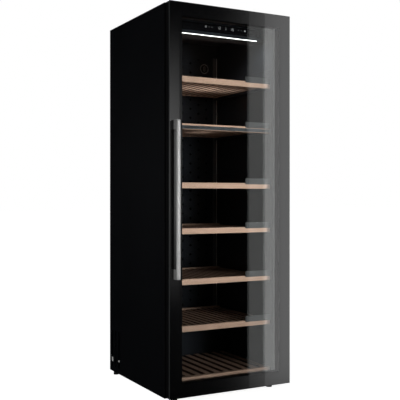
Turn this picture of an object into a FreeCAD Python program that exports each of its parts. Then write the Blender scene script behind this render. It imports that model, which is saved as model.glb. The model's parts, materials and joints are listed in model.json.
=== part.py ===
import FreeCAD, Part
import math
import os

import Sketcher
from FreeCAD import Placement, Rotation, Vector

# Full-height wine cooler with a glass door.
# Millimetres; X to the right seen from the front, Y from the front to the rear, Z up.
# The origin is under the middle of the whole object, on the floor.

doc = FreeCAD.newDocument("wine_cooler")
sheet = doc.addObject("Spreadsheet::Sheet", "dims")

DIMENSIONS = {
    # cabinet
    "cabinet_width": 595,
    "cabinet_height": 1630,
    "cabinet_depth": 600,
    "skin": 1,
    "base_sheet": 1.5,
    "side_wall": 57.5,
    "top_wall": 42,
    "floor_wall": 45,
    "back_wall": 66,
    "liner_wall": 2.5,
    "seat_gap": 0.3,
    "overcut": 5,
    # machine bay at the lower rear
    "bay_depth": 150,
    "bay_height": 215,
    "bay_cover": 30,
    "vent_slots": 3,
    "vent_width": 18,
    "vent_height": 170,
    "vent_pitch": 40,
    "vent_rear": 22,
    "vent_rise": 25,
    # air duct behind the rear panel
    "duct_depth": 30,
    "duct_sheet": 2,
    "plus_size": 14,
    "plus_arm": 5,
    "plus_pitch": 45,
    "plus_margin": 30,
    "plus_band_rows": 3,
    "filter_radius": 25,
    "filter_body_radius": 20,
    "filter_flange": 5,
    "filter_inset": 75,
    "filter_drop": 121,
    "fan_size": 92,
    "fan_depth": 25,
    "fan_bore_radius": 42,
    "fan_tip_radius": 40,
    "fan_hub_radius": 15,
    "fan_rotor_depth": 14,
    "fan_shaft_radius": 2.5,
    "fan_strut": 6,
    "fan_blades": 7,
    "fan_blade": 3,
    "fan_blade_sweep": 6,
    "fan_drop": 230,
    "running_clearance": 0.05,
    "evaporator_inset": 40,
    "evaporator_height": 520,
    "evaporator_plate": 2,
    "evaporator_channel": 8,
    "evaporator_channels": 6,
    "evaporator_drop": 380,
    # controls and light under the ceiling
    "fascia_height": 56,
    "fascia_setback": 59,
    "fascia_depth": 110,
    "fascia_wall": 3,
    "panel_inset": 30,
    "panel_height": 36,
    "panel_thickness": 2.5,
    "panel_rise": 12,
    "led_inset": 40,
    "led_width": 12,
    "led_depth": 6,
    "led_setback": 9,
    # shelves
    "space_over_shelf_1": 250,
    "space_over_shelf_2": 199,
    "space_over_shelf_3": 248,
    "space_over_shelf_4": 193,
    "space_over_shelf_5": 214,
    "space_over_shelf_6": 197,
    "shelf_over_step": 42,
    "shelf_gap": 5,
    "shelf_setback": 17,
    "shelf_rear_gap": 20,
    "bar_height": 25,
    "bar_depth": 20,
    "bar_round": 2,
    "rail_width": 12,
    "slat_width": 20,
    "slat_thickness": 8,
    "slat_pitch": 33,
    "slat_drop": 6,
    "runner_width": 16,
    "runner_height": 10,
    "runner_setback": 2,
    "runner_rear_gap": 12,
    "tag_width": 131,
    "tag_sheet": 2.5,
    "tag_rise": 20,
    "tag_overlap": 6,
    "tag_lip": 12,
    "trim_height": 15,
    "trim_sheet": 1.5,
    "trim_rise": 2,
    # bottom rack
    "rack_height": 27,
    "rack_bar_height": 14,
    "rack_slat_width": 27,
    "rack_slat_thickness": 10,
    "rack_slat_pitch": 47,
    "rack_bearer_depth": 25,
    "rack_rear_gap": 6,
    # door
    "door_thickness": 37,
    "door_gap": 9,
    "door_lift": 5,
    "pane": 4,
    "pane_bevel": 0.8,
    "door_border": 58,
    "frame_inset": 1.5,
    "glazing_gap": 12,
    "glazing_lap": 9.5,
    "glazing_fit": 0.5,
    "spacer_width": 7,
    "gasket_side_inset": 38,
    "gasket_end_inset": 20,
    "gasket_width": 16,
    "gasket_base": 3,
    "gasket_bulb": 10,
    # handle
    "handle_reach": 34,
    "handle_width": 17,
    "handle_thickness": 12,
    "handle_length": 650,
    "handle_inset": 26,
    "handle_rise": 489,
    "handle_round": 4,
    "post_width": 14,
    "post_height": 40,
    "screw_radius": 2.5,
    "screw_head_radius": 4.5,
    "screw_head_height": 5,
    "screw_clearance": 0.5,
    "screw_grip": 10,
    "thread_clearance": 0.05,
    # hinges
    "pin_inset": 12,
    "pin_setback": 20,
    "pin_radius": 4,
    "pin_length": 26,
    "bush_wall": 3,
    "bush_length": 22,
    "bush_clearance": 0.05,
    "notch_width": 40,
    "notch_height": 14,
    "bracket_sheet": 3,
    "bracket_width": 28,
    "bracket_height": 40,
    "bracket_inset": 6,
    "bracket_drop": 5,
    "bracket_nose": 9,
    "bracket_screw_low": 10,
    "bracket_screw_pitch": 18,
    "bracket_screw_length": 16,
    "bracket_screw_head": 1.5,
    # feet
    "foot_height": 20,
    "foot_radius": 14,
    "foot_pad": 10,
    "foot_neck_radius": 9,
    "foot_stem_radius": 4,
    "foot_stem_length": 16,
    "front_foot_inset": 60,
    "front_foot_setback": 32,
    "rear_foot_radius": 12,
    "rear_foot_inset": 22,
    "rear_foot_setback": 25,
    # machine bay contents
    "compressor_radius": 62,
    "compressor_height": 150,
    "compressor_round": 28,
    "compressor_plate": 3,
    "compressor_inset": 187.5,
    "mount_radius": 9,
    "mount_height": 12,
    "mount_spread": 52,
    "coil_tube_radius": 3,
    "coil_bend_radius": 13,
    "coil_rows": 6,
    "coil_length": 210,
    "coil_side_gap": 8,
    "coil_rear_gap": 30,
    "louvre_width": 90,
    "louvre_height": 6,
    "louvre_pitch": 20,
    "louvre_rows": 6,
    "louvre_rise": 40,
    "inlet_width": 28,
    "inlet_height": 22,
    "inlet_depth": 24,
    "inlet_wall": 2.5,
    "inlet_inset": 67.5,
    "inlet_rise": 70,
    "inlet_pin": 2,
    "inlet_pin_spread": 7,
}

for row, (alias, value) in enumerate(DIMENSIONS.items(), start=1):
    sheet.set(f"A{row}", alias.replace("_", " "))
    sheet.set(f"B{row}", str(value))
    sheet.setAlias(f"B{row}", alias)
doc.recompute()

# Main planes, as expressions of the sheet's cells

HALF_WIDTH = "(dims.cabinet_width / 2)"
INSIDE_HALF = f"({HALF_WIDTH} - dims.skin)"
HANDLE_FRONT = "(-(dims.handle_reach + dims.door_thickness + dims.door_gap + dims.cabinet_depth) / 2)"
GLASS_FRONT = f"({HANDLE_FRONT} + dims.handle_reach)"
FRAME_FRONT = f"({GLASS_FRONT} + dims.pane)"
FRAME_REAR = f"({GLASS_FRONT} + dims.door_thickness)"
CABINET_FRONT = f"({FRAME_REAR} + dims.door_gap)"
CABINET_REAR = f"({CABINET_FRONT} + dims.cabinet_depth)"
INSIDE_REAR = f"({CABINET_REAR} - dims.skin)"
BASE_BOTTOM = "dims.foot_height"
BASE_TOP = "(dims.foot_height + dims.base_sheet)"
CABINET_TOP = "(dims.foot_height + dims.cabinet_height)"
INSIDE_TOP = f"({CABINET_TOP} - dims.skin)"

CAVITY_HALF = f"({HALF_WIDTH} - dims.side_wall)"
CAVITY_FLOOR = "(dims.foot_height + dims.floor_wall)"
CAVITY_CEILING = f"({CABINET_TOP} - dims.top_wall)"
CAVITY_REAR = f"({CABINET_REAR} - dims.back_wall)"
BAY_FRONT = f"({CABINET_REAR} - dims.bay_depth)"
BAY_TOP = "(dims.foot_height + dims.bay_height)"
STEP_FRONT = f"({BAY_FRONT} - dims.bay_cover)"
STEP_TOP = f"({BAY_TOP} + dims.bay_cover)"
DUCT_FRONT = f"({CAVITY_REAR} - dims.duct_depth)"
DUCT_INSIDE = f"({DUCT_FRONT} + dims.duct_sheet)"

SHELF_HALF = f"({CAVITY_HALF} - dims.shelf_gap)"
SHELF_FRONT = f"({CABINET_FRONT} + dims.shelf_setback)"
SHELF_REAR = f"({DUCT_FRONT} - dims.shelf_rear_gap)"
SLAT_START = f"({SHELF_FRONT} + dims.bar_depth)"
SLAT_END = f"({SHELF_REAR} - dims.bar_depth)"
RAIL_INSIDE = f"({SHELF_HALF} - dims.rail_width)"

DOOR_BOTTOM = "(dims.foot_height + dims.door_lift)"
DOOR_TOP = CABINET_TOP
FRAME_HALF = f"({HALF_WIDTH} - dims.frame_inset)"
FRAME_BOTTOM = f"({DOOR_BOTTOM} + dims.frame_inset)"
FRAME_TOP = f"({DOOR_TOP} - dims.frame_inset)"
INNER_PANE_FRONT = f"({FRAME_FRONT} + dims.glazing_gap)"
INNER_PANE_REAR = f"({INNER_PANE_FRONT} + dims.pane)"
INNER_PANE_BORDER = "(dims.door_border - dims.glazing_lap)"
PIN_BORE = "(dims.pin_radius + dims.running_clearance)"
PIN_X = f"({HALF_WIDTH} - dims.pin_inset)"
PIN_Y = f"({GLASS_FRONT} + dims.pin_setback)"
HANDLE_X = f"(dims.handle_inset - {HALF_WIDTH})"
HANDLE_BOTTOM = f"({DOOR_BOTTOM} + dims.handle_rise)"
HANDLE_TOP = f"({HANDLE_BOTTOM} + dims.handle_length)"
HANDLE_BACK = f"({HANDLE_FRONT} + dims.handle_thickness)"

AXES = {"x": Vector(1, 0, 0), "y": Vector(0, 1, 0), "z": Vector(0, 0, 1)}
SAME_PLANE = 0.01
parts = []


def number(expression):
    """The value that an expression of the sheet's cells has now."""
    return float(sheet.evalExpression(expression))


def keep(piece, label):
    """Enter a finished sub-part under its own label."""
    piece.Label = label
    parts.append(piece)
    return piece


# Solids made from primitives


def place(piece, corner):
    """Bind a piece's position to three expressions."""
    for axis, expression in zip("xyz", corner):
        piece.setExpression(f"Placement.Base.{axis}", expression)


def block(name, low, high):
    """Rectangular block between its lowest and highest corner."""
    piece = doc.addObject("Part::Box", name)
    for side, low_edge, high_edge in zip(("Length", "Width", "Height"), low, high):
        piece.setExpression(side, f"{high_edge} - ({low_edge})")
    place(piece, low)
    return piece


def rod(name, axis, radius, base, length):
    """Cylinder that runs from its base point along one axis."""
    piece = doc.addObject("Part::Cylinder", name)
    piece.Placement = Placement(Vector(), Rotation(AXES["z"], AXES[axis]))
    piece.setExpression("Radius", radius)
    piece.setExpression("Height", length)
    place(piece, base)
    return piece


def cut(name, base, *tools):
    """A piece with each tool taken away in turn."""
    for step, tool in enumerate(tools):
        result = doc.addObject("Part::Cut", f"{name}_cut_{step}")
        result.Base = base
        result.Tool = tool
        base = result
    return base


def fuse(name, *pieces):
    """Several overlapping pieces as one solid."""
    result = doc.addObject("Part::MultiFuse", f"{name}_joined")
    result.Shapes = list(pieces)
    return result


def group(name, pieces):
    """Separate solids of one kind, kept in one node."""
    result = doc.addObject("Part::Compound", f"{name}_group")
    result.Links = list(pieces)
    return result


def ring(name, outer_low, outer_high, side, end):
    """Upright frame: a block with an opening, side and end being the widths of its rails."""
    inner_low = (f"{outer_low[0]} + {side}", f"{outer_low[1]} - dims.overcut", f"{outer_low[2]} + {end}")
    inner_high = (f"{outer_high[0]} - {side}", f"{outer_high[1]} + dims.overcut", f"{outer_high[2]} - {end}")
    outer = block(f"{name}_outer", outer_low, outer_high)
    return cut(name, outer, block(f"{name}_opening", inner_low, inner_high))


# Solids made from sketches


def sketch_on(body, plane, name, offset):
    """Empty sketch on one of the body's own planes, moved along that plane's normal."""
    sketch = body.newObject("Sketcher::SketchObject", name)
    support = next(item for item in body.Origin.OriginFeatures if item.Role == f"{plane}_Plane")
    sketch.AttachmentSupport = [(support, "")]
    sketch.MapMode = "FlatFace"
    sketch.setExpression("AttachmentOffset.Base.z", offset)
    return sketch


def bind(sketch, kind, geometry, vertex, expression):
    """Fix one coordinate of a sketch point, measured from the sketch's origin, by an expression."""
    index = sketch.addConstraint(Sketcher.Constraint(kind, -1, 1, geometry, vertex, number(expression)))
    sketch.setExpression(f"Constraints[{index}]", expression)


def outline(sketch, corners):
    """Closed outline of straight edges, each corner a pair of expressions."""
    points = [Vector(number(u), number(v), 0) for u, v in corners]
    first = sketch.GeometryCount
    count = len(points)
    for index, point in enumerate(points):
        sketch.addGeometry(Part.LineSegment(point, points[(index + 1) % count]), False)
    for index, (u, v) in enumerate(corners):
        edge = first + index
        following = first + (index + 1) % count
        sketch.addConstraint(Sketcher.Constraint("Coincident", edge, 2, following, 1))
        bind(sketch, "DistanceX", edge, 1, u)
        bind(sketch, "DistanceY", edge, 1, v)


def circle(sketch, centre, radius):
    """Circle in a sketch."""
    middle = Vector(number(centre[0]), number(centre[1]), 0)
    index = sketch.addGeometry(Part.Circle(middle, AXES["z"], number(radius)), False)
    bind(sketch, "DistanceX", index, 3, centre[0])
    bind(sketch, "DistanceY", index, 3, centre[1])
    size = sketch.addConstraint(Sketcher.Constraint("Radius", index, number(radius)))
    sketch.setExpression(f"Constraints[{size}]", radius)


def rectangle(low, high):
    """Corners of a rectangle."""
    return [(low[0], low[1]), (high[0], low[1]), (high[0], high[1]), (low[0], high[1])]


def extrude(body, name, plane, start, length, outlines=(), circles=()):
    """Pad of one sketch; start is where it begins on the axis square to the plane."""
    backwards = plane == "XZ"
    offset = f"-({start})" if backwards else start
    sketch = sketch_on(body, plane, f"{name}_sketch", offset)
    for corners in outlines:
        outline(sketch, corners)
    for centre, radius in circles:
        circle(sketch, centre, radius)
    pad = body.newObject("PartDesign::Pad", f"{name}_pad")
    pad.Profile = sketch
    pad.setExpression("Length", length)
    pad.Reversed = backwards
    return pad


def plate(name, plane, start, length, outlines=(), circles=()):
    """Body with one pad; the outlines after the first are openings in it."""
    body = doc.addObject("PartDesign::Body", f"{name}_body")
    extrude(body, name, plane, start, length, outlines, circles)
    return body


def soften(body, name, radius):
    """Round every edge of a body's last feature."""
    base = body.Tip
    base.recompute(True)
    fillet = body.newObject("PartDesign::Fillet", f"{name}_round")
    fillet.Base = (base, [f"Edge{index + 1}" for index in range(len(base.Shape.Edges))])
    fillet.setExpression("Radius", radius)
    return fillet


def turned(name, profile, position):
    """Body of revolution about an upright axis; the profile is radius and height pairs."""
    body = doc.addObject("PartDesign::Body", f"{name}_body")
    sketch = sketch_on(body, "XZ", f"{name}_profile", "0")
    outline(sketch, profile)
    revolution = body.newObject("PartDesign::Revolution", f"{name}_turn")
    revolution.Profile = sketch
    revolution.ReferenceAxis = (sketch, ["V_Axis"])
    revolution.Angle = 360
    place(body, position)
    return body


# Cabinet skins


def side_panel(label, start):
    """Painted side with a row of upright vent slots beside the machine bay."""
    panel = rectangle((CABINET_FRONT, BASE_BOTTOM), (CABINET_REAR, CABINET_TOP))
    slots = []
    for slot in range(int(number("dims.vent_slots"))):
        rear = f"{CABINET_REAR} - dims.vent_rear - {slot} * dims.vent_pitch"
        low = (f"{rear} - dims.vent_width", f"{BASE_BOTTOM} + dims.vent_rise")
        high = (rear, f"{BASE_BOTTOM} + dims.vent_rise + dims.vent_height")
        slots.append(rectangle(low, high))
    keep(plate(label, "YZ", start, "dims.skin", [panel, *slots]), label)


side_panel("left_side_panel", f"-{HALF_WIDTH}")
side_panel("right_side_panel", INSIDE_HALF)

top_low = (f"-{INSIDE_HALF}", CABINET_FRONT, INSIDE_TOP)
keep(block("top_panel", top_low, (INSIDE_HALF, CABINET_REAR, CABINET_TOP)), "top_panel")

back_low = (f"-{INSIDE_HALF}", INSIDE_REAR, BAY_TOP)
keep(block("back_panel", back_low, (INSIDE_HALF, CABINET_REAR, INSIDE_TOP)), "back_panel")

FRAME_SHEET_REAR = f"({CABINET_FRONT} + dims.skin)"
FRONT_FOOT_X = f"({HALF_WIDTH} - dims.front_foot_inset)"
FRONT_FOOT_Y = f"({CABINET_FRONT} + dims.front_foot_setback)"
stem_holes = [
    rod(
        f"stem_hole_{side}",
        "z",
        "dims.foot_stem_radius + dims.running_clearance",
        (f"{sign}{FRONT_FOOT_X}", FRONT_FOOT_Y, "0"),
        f"{BASE_TOP} + dims.foot_stem_length + dims.overcut",
    )
    for side, sign in (("left", "-"), ("right", ""))
]

base_low = (f"-{INSIDE_HALF}", FRAME_SHEET_REAR, BASE_BOTTOM)
base_blank = block("base_blank", base_low, (INSIDE_HALF, CABINET_REAR, BASE_TOP))
keep(cut("base_pan", base_blank, *stem_holes), "base_pan")

LINER_HALF = f"({CAVITY_HALF} + dims.liner_wall)"
BRACKET_X = f"({HALF_WIDTH} - dims.bracket_inset - dims.bracket_width / 2)"
UPPER_LEAF_TOP = f"({DOOR_TOP} - dims.bracket_drop)"
LOWER_LEAF_BOTTOM = f"({DOOR_BOTTOM} + dims.bracket_drop)"
NEAR_SCREW = "dims.bracket_screw_low"
FAR_SCREW = "(dims.bracket_screw_low + dims.bracket_screw_pitch)"
HINGE_SCREW_HEIGHTS = [f"({UPPER_LEAF_TOP} - {drop})" for drop in (NEAR_SCREW, FAR_SCREW)]
HINGE_SCREW_HEIGHTS += [f"({LOWER_LEAF_BOTTOM} + {rise})" for rise in (NEAR_SCREW, FAR_SCREW)]
LEAF_FRONT = f"({CABINET_FRONT} - dims.bracket_sheet)"
hinge_screw_holes = [
    rod(
        f"hinge_screw_hole_{index}",
        "y",
        "dims.screw_radius + dims.thread_clearance",
        (BRACKET_X, f"{LEAF_FRONT} - dims.overcut", height),
        "dims.bracket_screw_length + dims.overcut",
    )
    for index, height in enumerate(HINGE_SCREW_HEIGHTS)
]

face_low = (f"-{INSIDE_HALF}", CABINET_FRONT, BASE_BOTTOM)
face_blank = block("face_blank", face_low, (INSIDE_HALF, FRAME_SHEET_REAR, INSIDE_TOP))
mouth_low = (f"-{LINER_HALF}", f"{CABINET_FRONT} - dims.overcut", f"{CAVITY_FLOOR} - dims.liner_wall")
mouth_high = (LINER_HALF, f"{FRAME_SHEET_REAR} + dims.overcut", f"{CAVITY_CEILING} + dims.liner_wall")
mouth = block("mouth", mouth_low, mouth_high)
keep(cut("front_frame", face_blank, mouth, *hinge_screw_holes), "front_frame")


# Liner, foam and bulkhead


def cavity(name, front, wall):
    """The storage space with its step over the machine bay, grown by a wall thickness."""
    upper_low = (f"-({CAVITY_HALF} + {wall})", front, f"{STEP_TOP} - {wall}")
    upper_high = (f"{CAVITY_HALF} + {wall}", f"{CAVITY_REAR} + {wall}", f"{CAVITY_CEILING} + {wall}")
    lower_low = (f"-({CAVITY_HALF} + {wall})", front, f"{CAVITY_FLOOR} - {wall}")
    lower_high = (f"{CAVITY_HALF} + {wall}", f"{STEP_FRONT} + {wall}", f"{CAVITY_CEILING} + {wall}")
    upper = block(f"{name}_upper", upper_low, upper_high)
    return fuse(name, upper, block(f"{name}_lower", lower_low, lower_high))


liner_outside = cavity("liner_outside", CABINET_FRONT, "dims.liner_wall")
liner_inside = cavity("liner_inside", f"{CABINET_FRONT} - dims.overcut", "0")
keep(cut("inner_liner", liner_outside, liner_inside), "inner_liner")

BULKHEAD_FRONT = f"({BAY_FRONT} - dims.skin)"
BULKHEAD_TOP = f"({BAY_TOP} + dims.skin)"
bulkhead_profile = [
    (BULKHEAD_FRONT, BASE_TOP),
    (BAY_FRONT, BASE_TOP),
    (BAY_FRONT, BAY_TOP),
    (INSIDE_REAR, BAY_TOP),
    (INSIDE_REAR, BULKHEAD_TOP),
    (BULKHEAD_FRONT, BULKHEAD_TOP),
]
bulkhead = plate("bay_bulkhead", "YZ", f"-{INSIDE_HALF}", f"2 * {INSIDE_HALF}", [bulkhead_profile])
keep(bulkhead, "bay_bulkhead")

foam_low = (f"-{INSIDE_HALF}", FRAME_SHEET_REAR, BASE_TOP)
foam_blank = block("foam_blank", foam_low, (INSIDE_HALF, INSIDE_REAR, INSIDE_TOP))
bay_low = (f"-{HALF_WIDTH}", BULKHEAD_FRONT, BASE_BOTTOM)
bay_space = block("bay_space", bay_low, (HALF_WIDTH, CABINET_REAR, BULKHEAD_TOP))
foam_cavity = cavity("foam_cavity", f"{CABINET_FRONT} - dims.overcut", "dims.liner_wall")
foam = cut("foam_insulation", foam_blank, foam_cavity, bay_space, *stem_holes, *hinge_screw_holes)
keep(foam, "foam_insulation")


# Rear air duct

FILTER_X = f"({CAVITY_HALF} - dims.filter_inset)"
FILTER_Z = f"({CAVITY_CEILING} - dims.filter_drop)"
FAN_Z = f"({CAVITY_CEILING} - dims.fan_drop)"


def plus_hole(x, z):
    """Upright plus-shaped hole outline at the panel's front face."""
    reach = number("dims.plus_size / 2")
    arm = number("dims.plus_arm / 2")
    corner = [(arm, reach), (arm, arm), (reach, arm)]
    points = []
    for quarter in range(4):
        turn = Rotation(AXES["y"], 90 * quarter)
        points += [turn.multVec(Vector(u, 0, v)) for u, v in corner]
    front = number(DUCT_FRONT)
    return Part.makePolygon([Vector(x, front, z) + point for point in [*points, points[0]]])


def plus_holes(half, low, high):
    """Centres of the holes: columns one pitch apart, every second column half a pitch higher."""
    pitch = number("dims.plus_pitch")
    margin = number("dims.plus_margin")
    filter_x = number(FILTER_X)
    filter_z = number(FILTER_Z)
    clear = number("dims.filter_radius + dims.plus_size")
    columns = int((half - margin) // pitch)
    rows = int((high - low - 2 * margin) // pitch)
    for row in range(rows):
        for column in range(-columns, columns + 1):
            x = column * pitch
            z = low + margin + (row + (column % 2) / 2) * pitch
            if math.hypot(x - filter_x, z - filter_z) > clear:
                yield x, z


def upright_rectangle(left, right, low, high):
    """Closed rectangle at the panel's front face."""
    front = number(DUCT_FRONT)
    corners = [(left, low), (right, low), (right, high), (left, high), (left, low)]
    return Part.makePolygon([Vector(x, front, z) for x, z in corners])


def duct_panel():
    """Perforated panel with a return at each side that carries it off the liner's rear wall."""
    half = number(f"{CAVITY_HALF} - dims.seat_gap")
    low = number(f"{STEP_TOP} + dims.seat_gap")
    high = number(f"{CAVITY_CEILING} - dims.seat_gap")
    front = number(DUCT_FRONT)
    thickness = number("dims.duct_sheet")
    pitch = number("dims.plus_pitch")
    band_height = number("dims.plus_band_rows") * pitch
    first_seam = low + number("dims.plus_margin") - pitch / 4
    holes = list(plus_holes(half, low, high))
    bore_radius = number("dims.filter_body_radius + dims.seat_gap")
    bore_start = Vector(number(FILTER_X), front - thickness / 2, number(FILTER_Z))
    bore = Part.makeCylinder(bore_radius, 2 * thickness, bore_start, AXES["y"])
    seams = [low]
    while seams[-1] < high:
        next_seam = first_seam + len(seams) * band_height
        seams.append(min(next_seam, high))
    bands = []
    for band_low, band_high in zip(seams, seams[1:]):
        wires = [upright_rectangle(-half, half, band_low, band_high)]
        wires += [plus_hole(x, z) for x, z in holes if band_low < z < band_high]
        bands.append(Part.Face(wires).extrude(Vector(0, thickness, 0)))
    returns = number(f"{CAVITY_REAR} - {DUCT_INSIDE}")
    left = Part.makeBox(thickness, returns, high - low, Vector(-half, front + thickness, low))
    right = Part.makeBox(thickness, returns, high - low, Vector(half - thickness, front + thickness, low))
    piece = doc.addObject("Part::Feature", "duct_panel")
    piece.Shape = bands[0].fuse([*bands[1:], left, right]).cut(bore)
    keep(piece, "duct_panel")


duct_panel()

FILTER_DEPTH = f"({CAVITY_REAR} - {DUCT_FRONT} - dims.seat_gap)"
filter_cap = rod(
    "filter_cap",
    "y",
    "dims.filter_radius",
    (FILTER_X, f"{DUCT_FRONT} - dims.filter_flange", FILTER_Z),
    "dims.filter_flange",
)
filter_body = rod(
    "filter_body",
    "y",
    "dims.filter_body_radius",
    (FILTER_X, f"{DUCT_FRONT} - dims.filter_flange / 2", FILTER_Z),
    f"{FILTER_DEPTH} + dims.filter_flange / 2",
)
filter_dish = rod(
    "filter_dish",
    "y",
    "dims.filter_body_radius - dims.filter_flange",
    (FILTER_X, f"{DUCT_FRONT} - 2 * dims.filter_flange", FILTER_Z),
    "2 * dims.filter_flange",
)
keep(cut("charcoal_filter", fuse("filter", filter_cap, filter_body), filter_dish), "charcoal_filter")


def fan_housing():
    """Square fan frame behind the panel with four struts, a motor boss and its shaft."""
    half = "(dims.fan_size / 2)"
    rear = f"({DUCT_INSIDE} + dims.fan_depth)"
    low = (f"-{half}", DUCT_INSIDE, f"{FAN_Z} - {half}")
    bore = rod("fan_bore", "y", "dims.fan_bore_radius", ("0", DUCT_INSIDE, FAN_Z), "dims.fan_depth")
    frame = cut("fan_frame", block("fan_blank", low, (half, rear, f"{FAN_Z} + {half}")), bore)
    strut_front = f"{rear} - dims.fan_strut"
    across_low = (f"-{half}", strut_front, f"{FAN_Z} - dims.fan_strut / 2")
    across = block("fan_strut_across", across_low, (half, rear, f"{FAN_Z} + dims.fan_strut / 2"))
    up_low = ("-dims.fan_strut / 2", strut_front, f"{FAN_Z} - {half}")
    upright = block("fan_strut_upright", up_low, ("dims.fan_strut / 2", rear, f"{FAN_Z} + {half}"))
    boss = rod("fan_motor", "y", "dims.fan_hub_radius", ("0", strut_front, FAN_Z), "dims.fan_strut")
    shaft = rod("fan_shaft", "y", "dims.fan_shaft_radius", ("0", DUCT_INSIDE, FAN_Z), "dims.fan_depth")
    keep(fuse("fan_housing", frame, across, upright, boss, shaft), "fan_housing")


def fan_rotor():
    """Bladed wheel on the motor's shaft."""
    body = doc.addObject("PartDesign::Body", "fan_rotor_body")
    start = f"{DUCT_INSIDE} + dims.fan_depth - dims.fan_strut - dims.seat_gap - dims.fan_rotor_depth"
    middle = ("0", "0")
    hub = (middle, "dims.fan_hub_radius")
    bore = (middle, "dims.fan_shaft_radius + dims.running_clearance")
    extrude(body, "fan_hub", "XZ", "0", "dims.fan_rotor_depth", circles=[hub, bore])
    root = "dims.fan_hub_radius - dims.fan_blade"
    tip = "dims.fan_tip_radius - dims.fan_blade"
    blade = [
        (root, "-dims.fan_blade / 2"),
        (tip, "dims.fan_blade_sweep"),
        (tip, "dims.fan_blade_sweep + dims.fan_blade"),
        (root, "dims.fan_blade / 2"),
    ]
    blade_pad = extrude(body, "fan_blade", "XZ", "0", "dims.fan_rotor_depth", [blade])
    pattern = body.newObject("PartDesign::PolarPattern", "fan_blades")
    pattern.Originals = [blade_pad]
    axis = next(item for item in body.Origin.OriginFeatures if item.Role == "Y_Axis")
    pattern.Axis = (axis, [""])
    pattern.Angle = 360
    pattern.setExpression("Occurrences", "dims.fan_blades")
    body.Tip = pattern
    place(body, ("0", start, FAN_Z))
    keep(body, "fan_rotor")


fan_housing()
fan_rotor()


def evaporator():
    """Cooling plate on the liner's rear wall with raised refrigerant channels."""
    half = f"({CAVITY_HALF} - dims.evaporator_inset)"
    top = f"({CAVITY_CEILING} - dims.evaporator_drop)"
    bottom = f"({top} - dims.evaporator_height)"
    plate_front = f"({CAVITY_REAR} - dims.evaporator_plate)"
    sheet_low = (f"-{half}", plate_front, bottom)
    pieces = [block("evaporator_sheet", sheet_low, (half, CAVITY_REAR, top))]
    for channel in range(int(number("dims.evaporator_channels"))):
        x = f"(-{half} + ({channel} + 0.5) * 2 * {half} / dims.evaporator_channels)"
        low = (f"{x} - dims.evaporator_channel", f"{plate_front} - dims.evaporator_channel", bottom)
        high = (f"{x} + dims.evaporator_channel", CAVITY_REAR, top)
        pieces.append(block(f"evaporator_channel_{channel}", low, high))
    keep(fuse("evaporator", *pieces), "evaporator")


evaporator()


# Controls and light under the ceiling

FASCIA_FRONT = f"({CABINET_FRONT} + dims.fascia_setback)"
FASCIA_REAR = f"({FASCIA_FRONT} + dims.fascia_depth)"
FASCIA_BOTTOM = f"({CAVITY_CEILING} - dims.fascia_height)"
FASCIA_HALF = f"({CAVITY_HALF} - dims.seat_gap)"
PANEL_BOTTOM = f"({FASCIA_BOTTOM} + dims.panel_rise)"
PANEL_HALF = f"({CAVITY_HALF} - dims.panel_inset)"
LED_HALF = f"({CAVITY_HALF} - dims.led_inset)"
LED_FRONT = f"({FASCIA_FRONT} + dims.led_setback)"

fascia_low = (f"-{FASCIA_HALF}", FASCIA_FRONT, FASCIA_BOTTOM)
fascia_blank = block("fascia_blank", fascia_low, (FASCIA_HALF, FASCIA_REAR, CAVITY_CEILING))
hollow_low = (
    f"-{FASCIA_HALF} + dims.fascia_wall",
    f"{FASCIA_FRONT} + dims.panel_thickness + dims.fascia_wall",
    f"{FASCIA_BOTTOM} + dims.led_depth + dims.fascia_wall",
)
hollow_high = (
    f"{FASCIA_HALF} - dims.fascia_wall",
    f"{FASCIA_REAR} - dims.fascia_wall",
    f"{CAVITY_CEILING} + dims.overcut",
)
panel_low = (f"-{PANEL_HALF}", FASCIA_FRONT, PANEL_BOTTOM)
PANEL_REAR = f"({FASCIA_FRONT} + dims.panel_thickness)"
panel_high = (PANEL_HALF, PANEL_REAR, f"{PANEL_BOTTOM} + dims.panel_height")
panel_recess_low = (panel_low[0], f"{FASCIA_FRONT} - dims.overcut", panel_low[2])
led_low = (f"-{LED_HALF}", LED_FRONT, FASCIA_BOTTOM)
led_high = (LED_HALF, f"{LED_FRONT} + dims.led_width", f"{FASCIA_BOTTOM} + dims.led_depth")
led_recess_low = (led_low[0], led_low[1], f"{FASCIA_BOTTOM} - dims.overcut")
fascia = cut(
    "control_fascia",
    fascia_blank,
    block("fascia_hollow", hollow_low, hollow_high),
    block("panel_recess", panel_recess_low, panel_high),
    block("led_recess", led_recess_low, led_high),
)
keep(fascia, "control_fascia")
keep(block("touch_panel", panel_low, panel_high), "touch_panel")
keep(block("led_diffuser", led_low, led_high), "led_diffuser")


# Shelves


def front_bar(label, bottom, top):
    """Wooden front bar of a shelf with softened edges."""
    across = rectangle((f"-{SHELF_HALF}", bottom), (SHELF_HALF, top))
    bar = plate(label, "XZ", SHELF_FRONT, "dims.bar_depth", [across])
    soften(bar, label, "dims.bar_round")
    keep(bar, label)


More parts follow.
